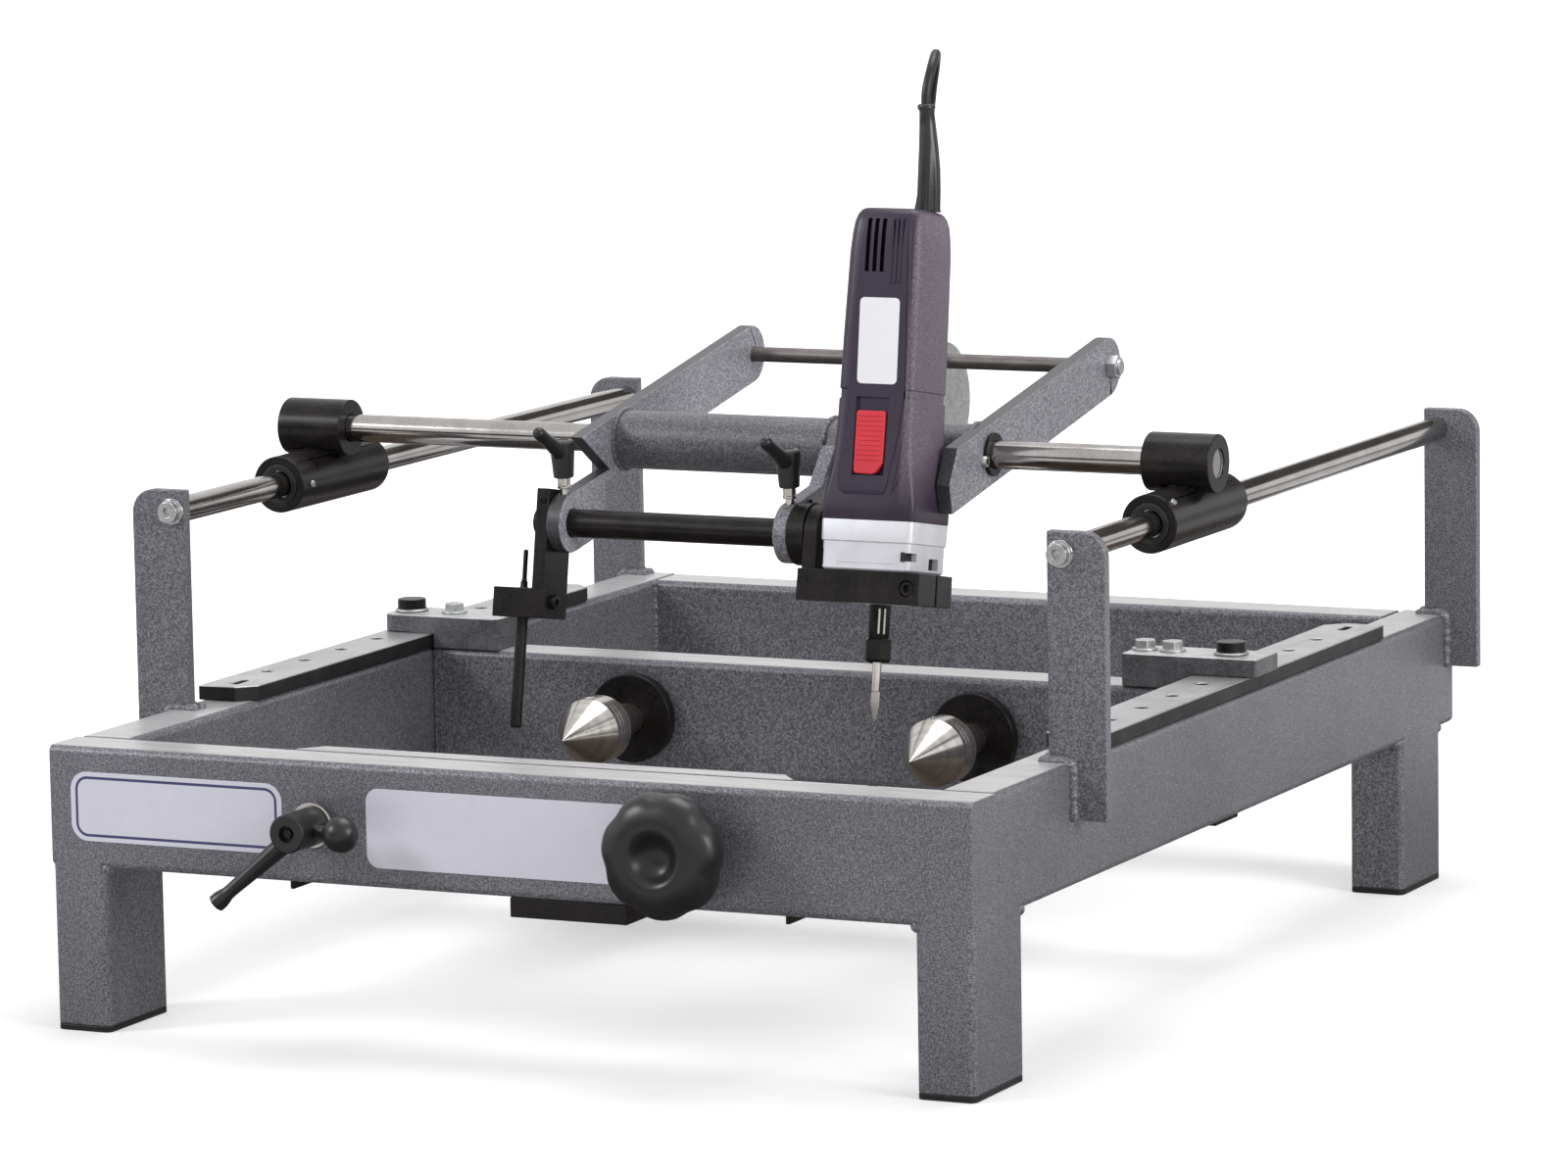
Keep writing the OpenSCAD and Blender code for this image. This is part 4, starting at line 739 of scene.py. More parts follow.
def plug_piece():
    """A moulded two-pin plug: sleeve, waisted grip, face and pins."""
    x, y, z = end[0], end[1] + FRONT_Y - COIL_TAIL, end[2]
    shape = Shape(shift(x, y, z) @ turn(90, "X"))
    shape.turned([(4.3, -0.5), (4.6, 0), (5.4, 6), (6.3, 12), (6.5, 16)], steps=32)
    rings = []
    for along, w, h in ((15, 9, 8), (16.5, 13, 9.3), (20, 16.2, 10), (32, 14.8, 9.4), (46, 15.6, 9.8),
                        (54, 16.9, 10.2), (58, 16.9, 10.2), (59, 16.2, 9.6)):
        rings.append([(*squarish(a, 0.55, 0.6, w, h), along) for a in angles(48)])
    shape.skin(rings)
    body = shape.piece("mains_plug_body", "frame", black_plastic, ["mains_plug"], smooth=40)
    pins = Shape(shift(x, y, z) @ turn(90, "X"))
    for side in (-9.5, 9.5):
        pins.turned([(2.35, 57), (2.35, 76.5), (1.6, 77.8), (0, 78)], steps=24, at=(side, 0, 0))
    return body, pins.piece("mains_plug_pins", "frame", steel)


def tie_piece():
    """A strap round all the turns, on one side of the coil."""
    inner = COIL_R - COIL_PITCH * 3.25 - CORD_D / 2 - 0.6
    w, h = COIL_R + CORD_D / 2 + 0.6 - inner, CORD_D + COIL_PITCH + 0.6
    shape = Shape(shift(COIL_X, COIL_Y + FRONT_Y, 0) @ turn(90, "Z"))
    middle = inner + w / 2
    section = [squarish(a, 0.35, 0.35) for a in angles(40)]
    rings = []
    for wide, along in ((0.0, -4), (1.0, -4), (1.0, 4), (0.0, 4)):
        half_w, half_h = w / 2 + 1.1 * wide, h / 2 - 0.5 + 0.45 * wide
        rings.append([(middle + u * half_w, along, h / 2 + 0.02 + v * half_h) for u, v in section])
    rings.append(rings[0])
    shape.skin(rings, caps=False)
    return shape.piece("cord_tie_strap", "frame", rubber, ["cord_tie"])


plug, pins = plug_piece()
tie = tie_piece()
cord_piece("cord_by_motor", "cord_at_motor", MOTOR_POINTS, ("tools", "yoke"))
cord_piece("cord_by_yoke", "cord_at_yoke", YOKE_POINTS, ("yoke", "carriage"))
cord_piece("cord_between", "cord_middle", MIDDLE_POINTS, ("carriage", "gantry"))
cord_piece("cord_down", "cord_to_floor", FLOOR_POINTS, ("gantry", "frame"))
cord_piece("cord_wound", "cord_coil", COIL_POINTS, ("frame",), steps=2)


# Motor and its tools

# Boxes that are cut out of the shell and the nose, and the line of the shell's front from foot to crown
VENTS = [((x - 1.5, -34, 173), (x + 1.5, -20, 208)) for x in (-10.7, -5.4, -0.1)]
NOTCHES = [((-34, -31, -20), (-30.6, -24, -9)), ((27.5, -31, -15.5), (34, -18, -10)),
           ((27, 2, -20), (34, 17, -12.5)), ((-20, -31, -21), (22, -28.4, -17.5))]
FRONT_LINE = ((10.5, -30.0), (33, -29.8), (45, -29.2), (58, -28.7), (75, -28.3), (90, -28.0), (186, -28.0),
              (198, -27.5), (206, -26.7), (211, -25.3), (214, -23.5))


def between(table, z):
    """The value at z on a line of pairs."""
    for (a, va), (b, vb) in zip(table, table[1:]):
        if z <= b:
            return va + (vb - va) * max(0.0, z - a) / (b - a)
    return table[-1][1]


def grip_outline(w, d, r, swell):
    """A rounded rectangle whose two sides swell."""
    points = round_outline(w, d, r)
    n = len(points) // 4
    steps = (-0.8, -0.6, -0.4, -0.2, 0, 0.2, 0.4, 0.6, 0.8)
    bulge = [(w / 2 + swell * (1 - k * k), k * (d / 2 - r)) for k in steps]
    left = [(-x, y) for x, y in reversed(bulge)]
    return points[:2 * n] + left + points[2 * n:] + bulge


def housing_piece():
    """The plastic shell: a wide square foot, a slim grip, a groove round it and a round crown."""
    sections = ((10.5, 65.4, 59.4, 2.6), (11.2, 66, 60, 3), (20, 66, 60, 3), (27, 64.6, 59.8, 3.6),
                (36, 61.5, 59.2, 4.4), (46, 58.8, 58.6, 5), (58, 56.6, 57.4, 5.4), (75, 55.2, 56.6, 5.6),
                (89.4, 55, 56, 5.6), (90.4, 53, 54.4, 5), (95.6, 53, 54.4, 5), (96.6, 55, 56, 5.8),
                (130, 54.4, 56, 6.4), (186, 53, 56, 8), (198, 51.6, 55, 8.2), (206, 49.6, 53.4, 7.8),
                (211, 46.4, 50.6, 7), (214, 42.4, 47, 6.2), (215.2, 38.4, 43, 5.6), (215.5, 35, 39, 5))
    rings = []
    for z, w, d, r in sections:
        swell = 1.9 * max(0.0, min(1.0, (z - 16) / 34, (218 - z) / 30))
        rings.append([(x, y, z) for x, y in grip_outline(w, d, r, swell)])
    shape = Shape(MOTOR)
    shape.skin(rings)
    shell = shape.piece("motor_shell", "tools", motor_plastic, ["motor_housing"], smooth=32)
    cut_out(shell, VENTS + [((-11.8, -33, 39.7), (9.8, -24.6, 90.3))], MOTOR)


def front_panel():
    """The raised face with the vents, the rating plate and the pocket of the switch."""
    left = ((27, -17.5), (30, -21), (37, -22.6), (47, -22), (98, -19.6), (158, -18), (200, -15), (213, -13))
    right = ((27, 10), (30, 12), (37, 13.5), (47, 15.2), (63, 18), (82, 20), (98, 21), (158, 18.4), (213, 16))
    heights = (27, 28.5, 30, 33, 37, 47, 58, 63, 75, 82, 90, 98, 128, 158, 186, 198, 206, 211, 213)
    rings = []
    for z in heights:
        x0, x1, y = between(left, z), between(right, z), between(FRONT_LINE, z)
        rise = 0.9 if 28 < z < 212.5 else 0.15
        rings.append([(x0 - 0.3, y + 1.6, z), (x1 + 0.3, y + 1.6, z), (x1, y - rise + 0.5, z),
                      (x1 - 0.7, y - rise, z), (x0 + 0.7, y - rise, z), (x0, y - rise + 0.5, z)])
    shape = Shape(MOTOR)
    shape.skin(rings)
    panel = shape.piece("motor_front_panel", "tools", panel_plastic, smooth=24)
    cut_out(panel, VENTS + [((-12.6, -33, 38.5), (10.6, -27, 91))], MOTOR)
    # Painted shade: dark blocks at the bottom of the vents.
    shadow = Shape(MOTOR)
    for low, high in VENTS:
        shadow.block((low[0] - 0.4, -23.2, low[2] - 0.4), (high[0] + 0.4, -21.4, high[2] + 0.4))
    shadow.piece("vent_shadow", "tools", painted_shade_plastic, bevel=0.3)
    plate = Shape(MOTOR)
    lean = -0.0175
    outline = [(x + lean * (z - 128), z) for x, z in round_outline(28.4, 56.5, 3.2, (0.7, 127.8))]
    plate.slab(outline, -29.35, -27.8)
    plate.piece("rating_plate", "tools", plate_white, bevel=0.25)
    rows = [MOTOR @ Vector((x, -28.9, 187.0)) for x in (6.4, 9.6, 12.7)]
    bars.grow("vent_ribs", "tools", panel_plastic, rows, bevel=0.4,
              bar=(0.0016, 0.0016, 0.043), turn=(-TOOL_TILT, 0.0, 0.0))


def grip_ridges():
    """The raised line where the right half of the shell meets the front, and its fork above the nose."""
    shape = Shape(MOTOR)
    ridge = ((17.6, 211), (19.4, 190), (20.4, 158), (22.6, 98), (22.2, 80), (20.4, 60), (18.2, 42),
             (16.4, 28))
    fork = ((16.4, 28), (19.8, 36), (22.6, 44), (24.2, 54), (24.6, 66))
    for points, r in ((ridge, 0.75), (fork, 0.6)):
        line = [Vector((x, between(FRONT_LINE, z) - 0.05, z)) for x, z in points]
        line = curve_through(line, 5)
        fade = [r * min(1.0, 0.25 + i / 6, 0.25 + (len(line) - 1 - i) / 6) for i in range(len(line))]
        tube(shape, line, fade, 10)
    shape.piece("grip_ridges", "tools", motor_plastic, smooth=60)


def switch_piece():
    """The red slide, with ten fine ribs for the thumb and one corner cut off."""
    outline = ((-11.2, 42.6), (-10.2, 40.6), (2.4, 40.3), (5.2, 42.0), (9.2, 47.6), (9.3, 80.6), (8.2, 81.9),
               (-10.2, 81.9), (-11.2, 80.8))
    Shape(MOTOR).slab(outline, -31.0, -25.2).piece("switch_slide", "switch", switch_red,
                                                  ["motor_switch"], bevel=0.7, segments=3)
    rows = [MOTOR @ Vector((-0.9, -30.9, 50.0 + 3.2 * i)) for i in range(10)]
    bars.grow("switch_ribs", "switch", switch_red, rows, bevel=0.35,
              bar=(0.0172, 0.0014, 0.0013), turn=(-TOOL_TILT, 0.0, 0.0))


def nose_piece():
    """The cast nose with its step and the notches on its lower edge, with painted shade in two of them."""
    sections = ((-22.6, 61, 55, 3), (-21.4, 63.6, 57.6, 4), (-4.2, 64, 58, 4.2), (-3.4, 66, 60, 4.6),
                (9.4, 66, 60, 3.6), (10.4, 65.2, 59.2, 3))
    shape = Shape(MOTOR)
    shape.turned([(0, -44), (21.0, -44), (21.5, -43.5), (21.5, -22)])
    shape.skin([[(x, y, z) for x, y in round_outline(w, d, r)] for z, w, d, r in sections])
    nose = shape.piece("nose_casting", "tools", alloy, ["motor_nose"], smooth=40)
    cut_out(nose, NOTCHES, MOTOR)
    # Painted shade: dark blocks at the inner ends of two notches.
    dark = Shape(MOTOR)
    for low, high in NOTCHES[1:3]:
        dark.block((low[0] - 1.2, low[1] - 0.4, low[2] - 0.4), (low[0] + 0.8, high[1] + 0.4, high[2] + 0.4))
    dark.piece("nose_opening_painted_shade", "tools", painted_shade_plastic, bevel=0.2)


def boot_piece():
    """A long moulded boot: fluted below, plain above, with a thin lip round the cord."""
    shape = Shape(TOOLS)
    foot, tip = Vector((155, 12, 215.2)), Vector((152.55, 4.1, 286.1))
    rings, flutes, deepest = [], 8, 0.14
    profile = ((0.0, 8.6), (0.012, 8.6), (0.02, 7.9), (0.2, 7.75), (0.4, 7.35), (0.6, 6.5), (0.8, 5.5),
               (0.93, 4.9), (0.945, 5.4), (0.96, 5.9), (0.985, 5.9), (0.997, 5.2), (1.0, 3.3))
    ahead = (tip - foot).normalized()
    side = Vector((1, 0, 0)) - ahead * ahead.x
    side.normalize()
    other = ahead.cross(side)
    for t, r in profile:
        middle = foot.lerp(tip, t) + side * 1.3 * sin(pi * t)
        deep = deepest * max(0.0, min(1.0, (0.6 - t) / 0.35)) if t > 0.015 else 0.0
        ring = []
        for a in angles(64):
            grown = r * (1 - deep * (0.5 + 0.5 * cos(flutes * a)))
            ring.append(middle + grown * (side * cos(a) + other * sin(a)))
        rings.append(ring)
    shape.skin(rings)
    shape.piece("fluted_boot", "tools", boot_rubber, ["cable_boot"], smooth=50)


def spindle_piece():
    """Slotted collar and hexagon nut."""
    shape = Shape(MOTOR)
    shape.turned([(0, -44.2), (7.0, -44.2), (7.0, -65.6), (6.6, -66.4), (0, -66.4)])
    shape.turned([(0, -66.6), (8.2, -66.6), (9.4, -67.4), (9.4, -80.2), (8.0, -82), (3.2, -82), (3.2, -81),
                  (0, -81)], steps=6)
    shape.piece("collet_nut", "spindle", black_steel, ["motor_spindle"], smooth=30)
    slots = [MOTOR @ turn(a, "Z") @ Vector((0, -6.75, -55.0)) for a in (22, 52)]
    bars.grow("collar_slots", "spindle", steel, slots, bevel=0.3,
              bar=(0.0014, 0.0012, 0.017), turn=(-TOOL_TILT, 0.0, 0.0))


def cutter_piece():
    """A pointed engraving cutter, ground to half its thickness."""
    shape = Shape(MOTOR)
    rings = []
    for z, r, flat in ((-81.5, 3, 1), (-101, 3, 1), (-101.4, 3, 0.04), (-110, 3, 0.04), (-121.4, 0.35, 0.04)):
        rings.append([(r * cos(a), r * sin(a) * (flat if sin(a) < 0 else 1), z) for a in angles(24)])
    shape.skin(rings + [[(0, 0, -122)]])
    shape.piece("half_round_cutter", "spindle", steel, ["cutter"], smooth=30)


# Centres, tail screw and hand grips


def centre_pieces():
    """Cones are turned with a ring close to the tip, so that they stay straight."""
    profile = ((0, -58.34), (0.25, -57.9), (2, -54.9), (22.75, -18.94), (23, -18.4), (23, -13.2),
               (22.8, -13.1), (22.8, -12.8), (23, -12.7), (23, -9.2), (22.8, -9.1), (22.8, -8.8),
               (23, -8.7), (23, 0.9), (22.4, 1.5), (13.9, 1.5), (13.9, 6), (13.4, 6.3), (13.4, 7.2),
               (13.9, 7.5), (13.9, 15), (13.4, 15.3), (13.4, 16.2), (13.9, 16.5), (13.9, 27.6),
               (13.4, 28.2), (11, 28.4), (11, 96.5), (25.4, 96.5), (26, 97), (26, 110), (25.4, 110.5),
               (9, 110.5), (8.4, 109), (0, 109))
    for side, hand in ((-1, "left_"), (1, "right_")):
        node = hand + "live_centre"
        Shape().turned(profile, "Y", 96, (side * AXIS_X, 0, AXIS_Z)).piece(
            node + "_turned", hand + "centre", steel, [node], smooth=22)
    tail = ((0, -311.2), (5.55, -311.2), (5.55, -321.2), (11.1, -321.2), (11.5, -320.8), (11.5, -311.7),
            (11.3, -311.1), (2, -295), (0.25, -291.95), (0, -291.5))
    Shape().turned(tail, "Y", 64, (AXIS_X, 0, AXIS_Z)).piece(
        "tail_cone", "tail_point", steel, ["tail_centre"], smooth=22)
    quill = ((0, -439.5), (4.6, -439.5), (5, -439.1), (5, -408.5), (8.6, -408.5), (9, -408.1), (9, -307.3),
             (8.85, -306.8), (2, -295), (0.25, -291.95), (0, -291.5))
    Shape().turned(quill, "Y", 64, (-AXIS_X, 0, AXIS_Z)).piece(
        "quill_turned", "quill", steel, ["tail_quill"], smooth=22)


def screw_piece():
    """The tail screw, with its thread shown all along and a plain end in the centre."""
    lead, crest, deep, step, count = 4.0, 8.0, 1.3, 0.4, 32
    rings, y = [], -435.5
    while y <= -321.6:
        ring = []
        for k, a in enumerate(angles(count)):
            along = (y / lead - k / count) % 1.0
            r = crest - min(1.0, max(0.0, 2.2 - abs(along - 0.5) * 6.4)) * deep
            ring.append((r * cos(a), y, r * sin(a)))
        rings.append(ring)
        y += step
    for r, y in ((5.5, -321.4), (5.5, -312.0), (5.0, -311.5)):
        rings.append([(r * cos(a), y, r * sin(a)) for a in angles(count)])
    shape = Shape(shift(AXIS_X, 0, AXIS_Z))
    shape.skin(rings)
    shape.piece("threaded_screw", "screw", steel, ["tail_screw"], smooth=40)


def star_knob_piece():
    """A round hand wheel with seven shallow lobes, a dished face and a deep middle."""
    profile = ((0, -437.2, 0), (4, -437.3, 0), (8, -438.2, 0), (11, -440, 0), (13.2, -442.4, 0),
               (15, -444.8, 0), (16.8, -446.5, 0), (19, -447.3, 0), (22, -447.4, 0.05), (26, -446.9, 0.15),
               (30, -445.8, 0.35), (34, -443.9, 0.65), (37, -441.6, 0.9), (39.2, -438.6, 1),
               (40.5, -434.8, 1), (40.9, -431, 1), (40.7, -427.4, 1), (39.8, -424.2, 1), (38, -422.2, 1),
               (33, -421.5, 0.7), (20, -421.5, 0.1), (17.6, -421, 0), (17, -419.6, 0), (17, -416.2, 0),
               (16.3, -415.5, 0), (8.2, -415.5, 0), (8.2, -435, 0), (0, -435, 0))
    rings, lobes, deepest = [], 7, 0.052
    for r, y, lobed in profile:
        ring = []
        for a in angles(168) if r else [0.0]:
            hollow = (0.5 - 0.5 * cos(lobes * a + pi)) ** 2
            grown = r * (1 - deepest * lobed * hollow)
            ring.append((AXIS_X + grown * sin(a), y, AXIS_Z + grown * cos(a)))
        rings.append(ring)
    shape = Shape()
    shape.skin(rings)
    shape.piece("seven_lobe_knob", "screw", black_plastic, ["star_knob"], smooth=38)


def quill_lever_piece():
    """Hub with a hexagon socket, a tapered arm with a cupped end, and a ball on a short neck."""
    hub = Vector((0, -427, 0))
    shape = Shape(shift(-AXIS_X, 0, AXIS_Z))
    shape.turned([(0, -441.6), (5, -441.6), (5.6, -445.4), (11.4, -445.5), (12.5, -444.4), (12.5, -410),
                  (11.9, -408.6), (5.2, -408.6), (5.2, -439.9), (0, -439.9)], "Y", 48)
    arm = Vector((-50, -11, -44))
    line = [hub + arm * t for t in (0.05, 0.3, 0.6, 0.9, 0.97, 1.0, 1.06, 1.12, 1.13, 1.1)]
    tube(shape, line, [6.6, 6.2, 5.3, 4.5, 4.6, 5.2, 6.0, 6.0, 4.8, 0.3], 28)
    reach = Vector((33, -6, 0))
    ahead = reach.normalized()
    ball = [(4.6, 8), (4.3, 16), (4.6, 21.2), (5.4, 22.2)]
    for degrees in range(28, 171, 9):
        a = radians(degrees)
        ball.append((11.9 * sin(a), reach.length - 11.9 * cos(a)))
    line = [hub + ahead * along for r, along in ball]
    tube(shape, line, [r for r, along in ball], 32)
    shape.piece("cupped_lever", "quill_clamp", black_plastic, ["quill_lever"])
    collar = Shape(shift(-AXIS_X, 0, AXIS_Z))
    collar.turned([(9.2, -413), (14.2, -413), (15, -412.3), (15, -409.5), (14.2, -408.8), (9.2, -408.8),
                   (9.2, -413)], "Y")
    collar.piece("quill_collar", "quill", steel, smooth=30)
    socket = Shape(shift(-AXIS_X, 0, AXIS_Z))
    socket.turned([(0, -443.6), (3.0, -443.6), (3.4, -441.8), (5.0, -441.7), (5.0, -441.2), (0, -441.2)],
                  "Y", 6)
    socket.piece("socket_screw", "quill_clamp", black_steel, smooth=30)


def clamp_lever_pieces():
    """Each lever has a bright stud with a collar, a tapered hub and a slim arm."""
    for side, x in (("left", -92.0), ("right", 75.0)):
        place = YOKE @ shift(x, -88, -32) @ turn(-6, "X")
        stud = Shape(place)
        stud.turned([(0, 16), (3, 16), (3, 23.6), (4.5, 23.8), (4.8, 24.3), (4.8, 25.6), (4.4, 26),
                     (4.4, 31.4), (0, 31.4)])
        stud.piece(side + "_lever_stud", side + "_lever", steel, smooth=30)
        grip = Shape(place)
        grip.turned([(0, 31.2), (6.4, 31.2), (6.9, 31.8), (7.6, 42), (8.4, 53), (8.3, 55), (7.2, 56.2),
                     (4.6, 56.6), (4.2, 56.1), (0, 56.1)])
        ahead = Vector((0, -sin(radians(58)), cos(radians(58))))
        line = [Vector((0, 0, 47)) + ahead * t for t in (2, 10, 18, 28, 36, 38, 40, 41.4, 42)]
        tube(grip, line, [6.2, 5.4, 4.9, 4.3, 4.4, 4.3, 3.7, 2.4, 0.2], 24)
        grip.piece(side + "_lever_grip", side + "_lever", black_plastic, [side + "_clamp_lever"])


# Labels, welds and small parts


def label_pieces():
    low, high = FRONT_Y - 0.6, FRONT_Y - 0.02
    left = round_outline(157, 45.8, 12, (-234.5, 149.9), 12)
    Shape().slab(left, low, high).piece("left_label", "frame", left_film, ["label_plates"], bevel=0.15)
    right = round_outline(211.5, 51.6, 9, (11.25, 148.2), 12)
    Shape().slab(right, low, high).piece("right_label", "frame", plain_film, bevel=0.15)


def leg_joints():
    """Filler ground flush where each leg meets the beams, so that no seam shows outside."""
    (_, y0, _), (x1, y1, z1) = [[c / MM for c in corner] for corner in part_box("legs")]
    shape, proud = Shape(), 0.12
    for s in (-1, 1):
        for near, far in ((y0, LEG_DEPTH), (y1, -LEG_DEPTH)):
            w, d = LEG_WIDTH + proud - 0.3, abs(far) + proud - 0.3
            at = (s * (x1 + proud - w / 2), near + copysign(d / 2 - proud, far))
            outline = round_outline(w, d, LEG_ROUND, at)
            shape.skin([[(x, y, z) for x, y in outline] for z in (z1 - 1.6, z1 + 5.8)])
    shape.piece("leg_joints", "frame", paint, smooth=60)


def around(x, r):
    """A ring of points round the cross rod, square to it, in the yoke."""
    return [YOKE @ Vector((x, r * cos(a), r * sin(a))) for a in angles(40)]


def weld_pieces():
    """Beads where the legs, the beams, the posts and the arms meet."""
    frame_lines, leg_lines, seam = [], [], 108.8
    for s in (-1, 1):
        inner = s * 289.4
        runs = ((FRONT_Y + 5, FRONT_Y + 73), (349, 416))
        leg_lines += [((inner, y0, seam), (inner, y1, seam)) for y0, y1 in runs]
        leg_lines += [((s * 325, y, seam), (s * 293, y, seam)) for y in (FRONT_Y + 77.3, 344.2, 421.8)]
        frame_lines += [((inner, y, 112), (inner, y, 186)) for y in (FRONT_Y + 40.4, 407.2)]
    for name, lines, width in (("frame_welds", frame_lines, 0.005), ("leg_welds", leg_lines, 0.009)):
        points = [end for line in lines for end in line]
        edges = [(k, k + 1) for k in range(0, len(points), 2)]
        beads.grow(name, "frame", paint, points, edges, smooth=60, width=width, pitch=0.36 * width)
    over_edge = ((310, 189.4), (327, 189.6), (329.6, 187), (329.8, 155))
    points, edges = [], []
    for s in (-1, 1):
        for y in (-247.0, -247.0 + 8.8, 440.9, 440.9 - 9.2):
            edges += [(len(points) + k, len(points) + k + 1) for k in range(3)]
            points += [(s * x, y, z) for x, z in over_edge]
    beads.grow("post_welds", "frame", paint, points, edges, smooth=60, width=0.0078, pitch=0.0026)
    points, edges = [], []
    for x in (-86.6, 174.1, 69.6, 80.4):
        start, ring = len(points), around(x, 20.2)
        points += ring
        edges += [(start + k, start + (k + 1) % len(ring)) for k in range(len(ring))]
    beads.grow("yoke_welds", "yoke", paint, points, edges, smooth=60, width=0.0036, pitch=0.0016)


def screw_head(shape, at, axis, d, tall=None):
    """A round head with a small socket, standing on a surface."""
    tall = tall or 0.35 * d
    ahead = Vector(axis).normalized()
    local = shape.place
    shape.place = local @ shift(*at) @ ahead.to_track_quat("Z", "Y").to_matrix().to_4x4()
    r = d / 2
    shape.turned([(0, -0.6), (r, -0.6), (r, 0.6 * tall), (0.86 * r, 0.95 * tall), (0.5 * r, tall),
                  (0.46 * r, 0.4 * tall), (0, 0.4 * tall)], steps=24)
    shape.place = local


def small_parts():
    """Set screws, seal rings and retaining rings of the sliders, the yoke and the tools."""
    seals, screws = Shape(), Shape()
    for s in (-1, 1):
        x = s * 322.5
        for y, out in ((-100.5, -1), (23.5, 1)):
            seals.turned([(9.4, y - 1.2 * out), (13.9, y - 1.2 * out), (13.9, y - 0.1 * out),
                          (13.2, y + 0.1 * out), (10.0, y + 0.1 * out), (9.4, y - 0.3 * out),
                          (9.4, y - 1.2 * out)], "Y", 48, (x, 0, 322.5))
        screw_head(screws, (x + s * 13.8, -92, 336.3), (s * 0.7, 0, 0.7), 4.6)
        screw_head(screws, (x - s * 19.4, -88, 322.5), (-s, 0, 0), 4.6)
    seals.piece("slider_seals", "gantry", rubber)
    screws.piece("slider_set_screws", "gantry", zinc)
    ring = Shape(shift(0, CROSS_Y, CROSS_Z))
    for s in (-1, 1):
        ring.turned([(9.3, s * 344.2), (12.4, s * 344.2), (12.4, s * 345.4), (9.3, s * 345.4),
                     (9.3, s * 344.2)], "X", 40)
    ring.piece("rod_retaining_rings", "gantry", zinc)
    arm = Shape()
    screw_head(arm, (184.5, -53, 352.3), (1, 0, 0), 8.0, 3.4)
    arm.piece("right_arm_screw", "yoke", zinc)
    holder = Shape(TOOLS)
    screw_head(holder, (-97.3, -3, -53.5), (1, 0, 0), 10.0, 3.6)
    screw_head(holder, (-101.5, -17.5, 14), (0, -1, 0), 4.4)
    screw_head(holder, (86.5, 0, 21), (0, 0, 1), 5.0)
    holder.piece("holder_screws", "tools", black_steel)


def belt_teeth():
    """Teeth on the inner face of the belt, on its straight runs."""
    rows = [(x, 103.5, AXIS_Z + s * 26.9) for s in (-1, 1) for x in range(-128, 129, 5)]
    bars.grow("belt_teeth", "headstock", rubber, rows, bar=(0.0024, 0.0096, 0.0016))


housing_piece()
front_panel()
grip_ridges()
switch_piece()
nose_piece()
boot_piece()
spindle_piece()
cutter_piece()
centre_pieces()
screw_piece()
star_knob_piece()
quill_lever_piece()
clamp_lever_pieces()
label_pieces()
weld_pieces()
small_parts()
belt_teeth()
leg_joints()


# Solids that keep their shape

for node in ("front_beam", "rear_beam", "side_beams", "tail_rail", "headstock_beam"):
    dress(node, paint, 0.9)
# The rounded rims at the tops of the legs are raised into the beams, where they don't show
leg_rim, leg_top = 0.9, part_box("legs")[1][2]
legs = dress("legs", paint, leg_rim)
for corner in legs.data.vertices:
    if corner.co.z > leg_top - (leg_rim + 0.05) * MM:
        corner.co.z += leg_rim * MM
# Painted light: lighter copies of the grey paint, at its own level for each arm, with painted shade on the
# narrow edges of their plates.
for node, light in (("left_arm", 2.1), ("right_arm", 1.7)):
    low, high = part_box(node)
    dress(node, hammered_paint(node + "_paint", light, False, (low[0] + high[0]) / 2), 0.7)
for node, bevel in (("guide_plates", 0.6), ("under_beam_fittings", 0.7), ("hub_bushings", 0.0),
                    ("sliders", 0.8), ("bearing_flanges", 0.6), ("hub_seals", 0.5), ("bar_collar", 0.7),
                    ("stylus_holder", 0.6), ("motor_bracket", 0.6), ("bracket_screws", 0.3),
                    ("stylus", 1.3)):
    dress(node, black_steel, bevel)
dress("rod_bolts", bright_zinc, 0.5)
dress("counterweight", zinc, 1.2)
for node, bevel in (("slide_rods", 0.0), ("cross_rod", 0.5), ("slider_bushings", 0.0)):
    dress(node, chrome, bevel)
dress("posts", post_paint, 0.9)
dress("hub_tube", tube_painted_shade, 0.6)
dress("middle_arm", middle_arm_painted_light_paint, 0.7)
dress("rear_rod", dull_rod, 0.4)
dress("headstock_bolts", bolt_zinc, 0.4)
dress("left_locating_pin", pin_zinc, 0.75)
dress("right_locating_pin", pin_zinc, 0.75)
dress("clamp_plates", milled_plate(PLATE_TOP), 0.7)
dress("index_strips", strip, 0.5)
dress("tool_bar", black_bar, 0.6)
dress("tail_bushes", steel)
dress("foot_caps", rubber, 0.6)
dress("drive_belt", rubber, 0.4)


# Floor, light and world


def studio_world():
    """White where the camera sees it, in mirrors and through glass, and dimmer as a light."""
    world = bpy.data.worlds.new("studio")
    scene.world = world
    world.use_nodes = True
    sky = Wiring()
    sky.tree = world.node_tree
    back = next(n for n in sky.tree.nodes if n.type == "BACKGROUND")
    seen = sky.node("ShaderNodeLightPath", out="Is Camera Ray")
    rays = seen.socket.node.outputs
    for ray in ("Is Glossy Ray", "Is Transmission Ray"):
        seen = seen.most(Value(sky, rays[ray]))
    level = sky.node("ShaderNodeMapRange", None, {"Value": seen, "To Min": 0.42, "To Max": 1.0})
    sky.feed(back.inputs["Strength"], level)
    sky.feed(back.inputs["Color"], (1.0, 1.0, 1.0))


def sheet(name, corners, finish):
    mesh = bpy.data.meshes.new(name)
    mesh.from_pydata(corners, [], [(0, 1, 2, 3)])
    mesh.materials.append(finish)
    return in_scene(name, mesh)


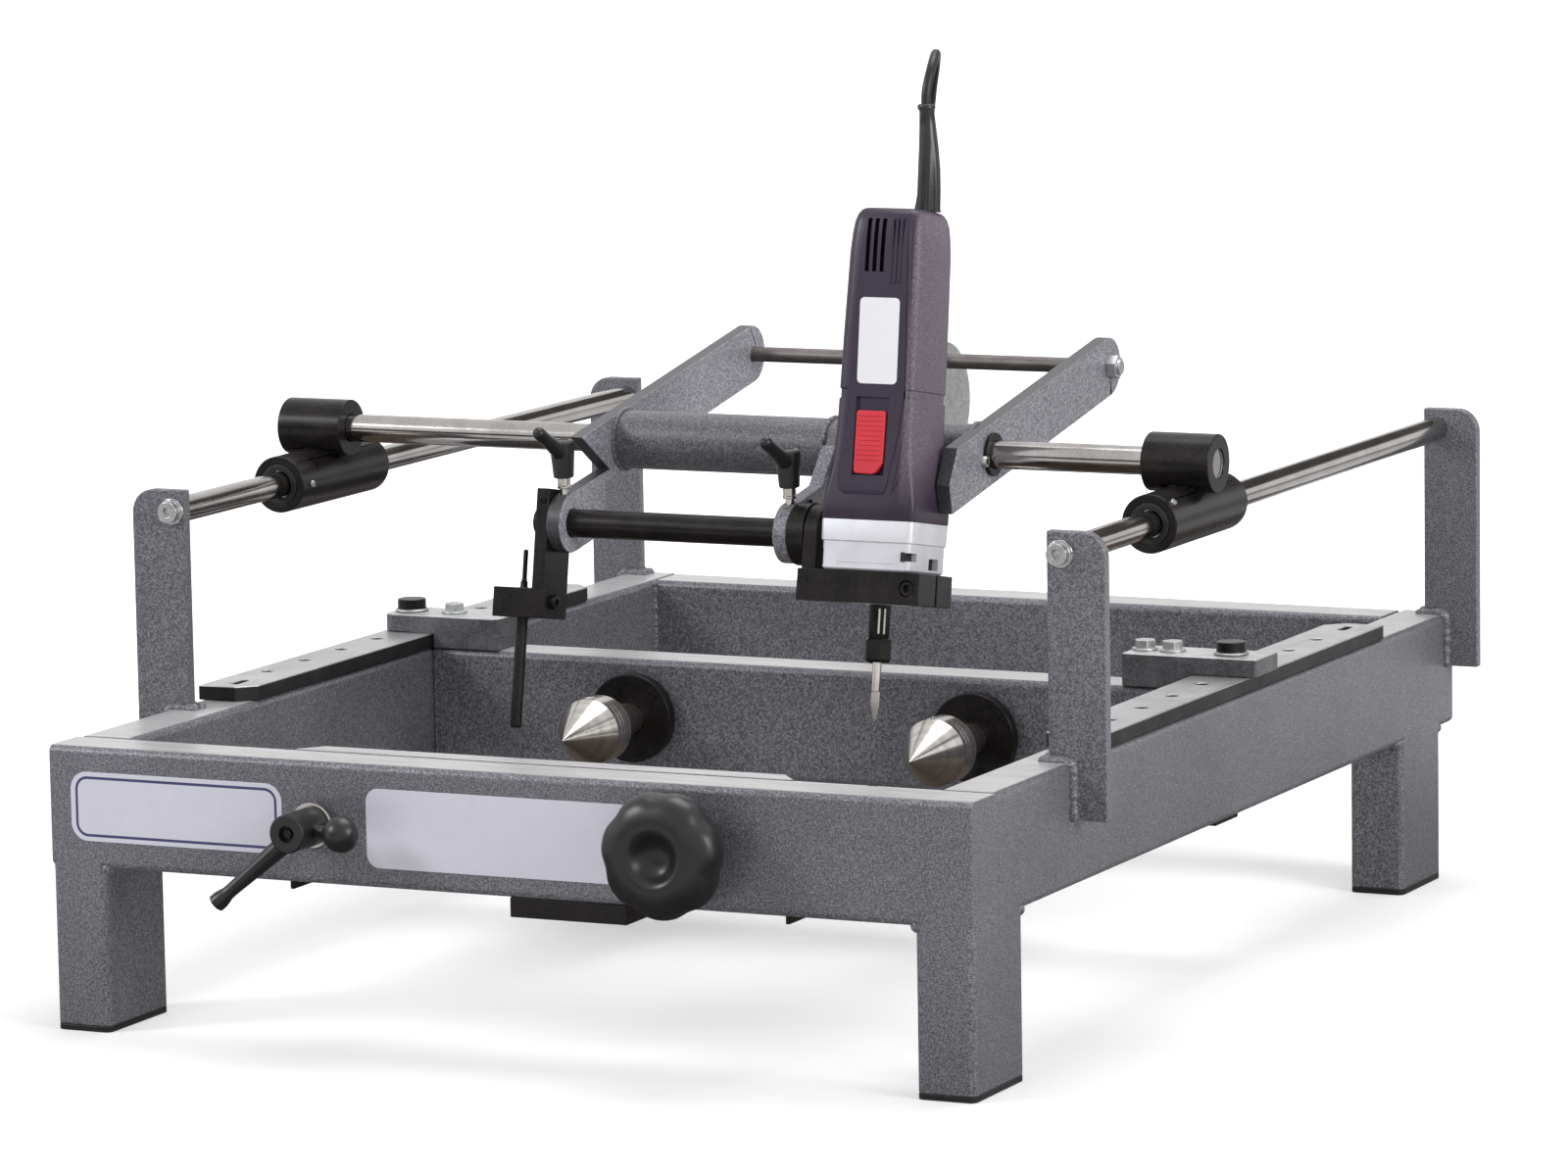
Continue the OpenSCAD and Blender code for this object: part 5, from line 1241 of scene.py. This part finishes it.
def floor_piece():
    """A white floor that keeps the shadow near the machine and runs into the white background."""
    f = Finish("pale_floor", Roughness=0.9, Specular_IOR_Level=0.1, Emission_Strength=1.0)
    x, y = f.along("X"), f.along("Y")
    camera_ray = f.node("ShaderNodeLightPath", out="Is Camera Ray")
    far = ((x * x + y * y) ** 0.5).above(0.75, 1.1)
    glow = (0.3 + 0.7 * far) * camera_ray
    f.feed(f.shader.inputs["Base Color"], f.mix(camera_ray, (0.78, 0.78, 0.78), (0.8, 0.8, 0.8)))
    f.feed(f.shader.inputs["Emission Color"], f.mix(glow, (0.0, 0.0, 0.0), (1.0, 1.0, 1.0)))
    sheet("floor", [(-30, -30, 0), (30, -30, 0), (30, 30, 0), (-30, 30, 0)], f.material)


def painted_reflection_card(name, corners, shade):
    """A card that only polished metal mirrors: a painted dark reflection, like a studio's black flag beside
    bright steel, though the camera, diffuse light and shadows don't see it.
    """
    f = Finish(name + "_finish", Roughness=1.0)
    finish = f.wear(f.mix(f.noise(400.0), shade, tuple(0.6 * c for c in shade)))
    card = sheet(name, corners, finish)
    card.visible_camera = card.visible_diffuse = card.visible_shadow = card.visible_transmission = False


def lamp(name, place, aim, size, power, tint=(1.0, 1.0, 1.0)):
    light = bpy.data.lights.new(name, "AREA")
    light.shape, light.size, light.energy, light.color = "SQUARE", size, power, tint
    obj = in_scene(name, light)
    obj.location = place
    obj.rotation_mode = "QUATERNION"
    obj.rotation_quaternion = (Vector(aim) - Vector(place)).to_track_quat("-Z", "Y")


studio_world()
floor_piece()
painted_reflection_card("low_card", [(-2.6, -2.6, 0.0), (-0.2, -3.4, 0.0), (-0.2, -3.4, 0.7), (-2.6, -2.6, 0.7)],
          (0.09, 0.076, 0.068))
painted_reflection_card("high_card", [(-0.6, 3.0, 1.1), (1.6, 3.0, 1.1), (1.6, 2.6, 1.9), (-0.6, 2.6, 1.9)],
          (0.09, 0.08, 0.075))
# Painted shade in reflections: a brown card under the machine stands for the shaded floor there.
painted_reflection_card("under_card", [(-0.75, -0.7, 0.002), (0.75, -0.7, 0.002), (0.75, 0.9, 0.002), (-0.75, 0.9, 0.002)],
          (0.115, 0.088, 0.07))
lamp("key", (-2.7, -2.5, 2.2), (0, 0, 0.25), 1.0, 63.0, (0.96, 0.975, 1.0))
lamp("top", (0.2, 0.6, 3.2), (0, 0, 0.2), 2.0, 55.0)
lamp("side", (3.2, -0.9, 1.5), (0, 0.1, 0.25), 1.5, 58.0, (1.0, 0.985, 0.965))
scene.view_settings.view_transform = "Standard"
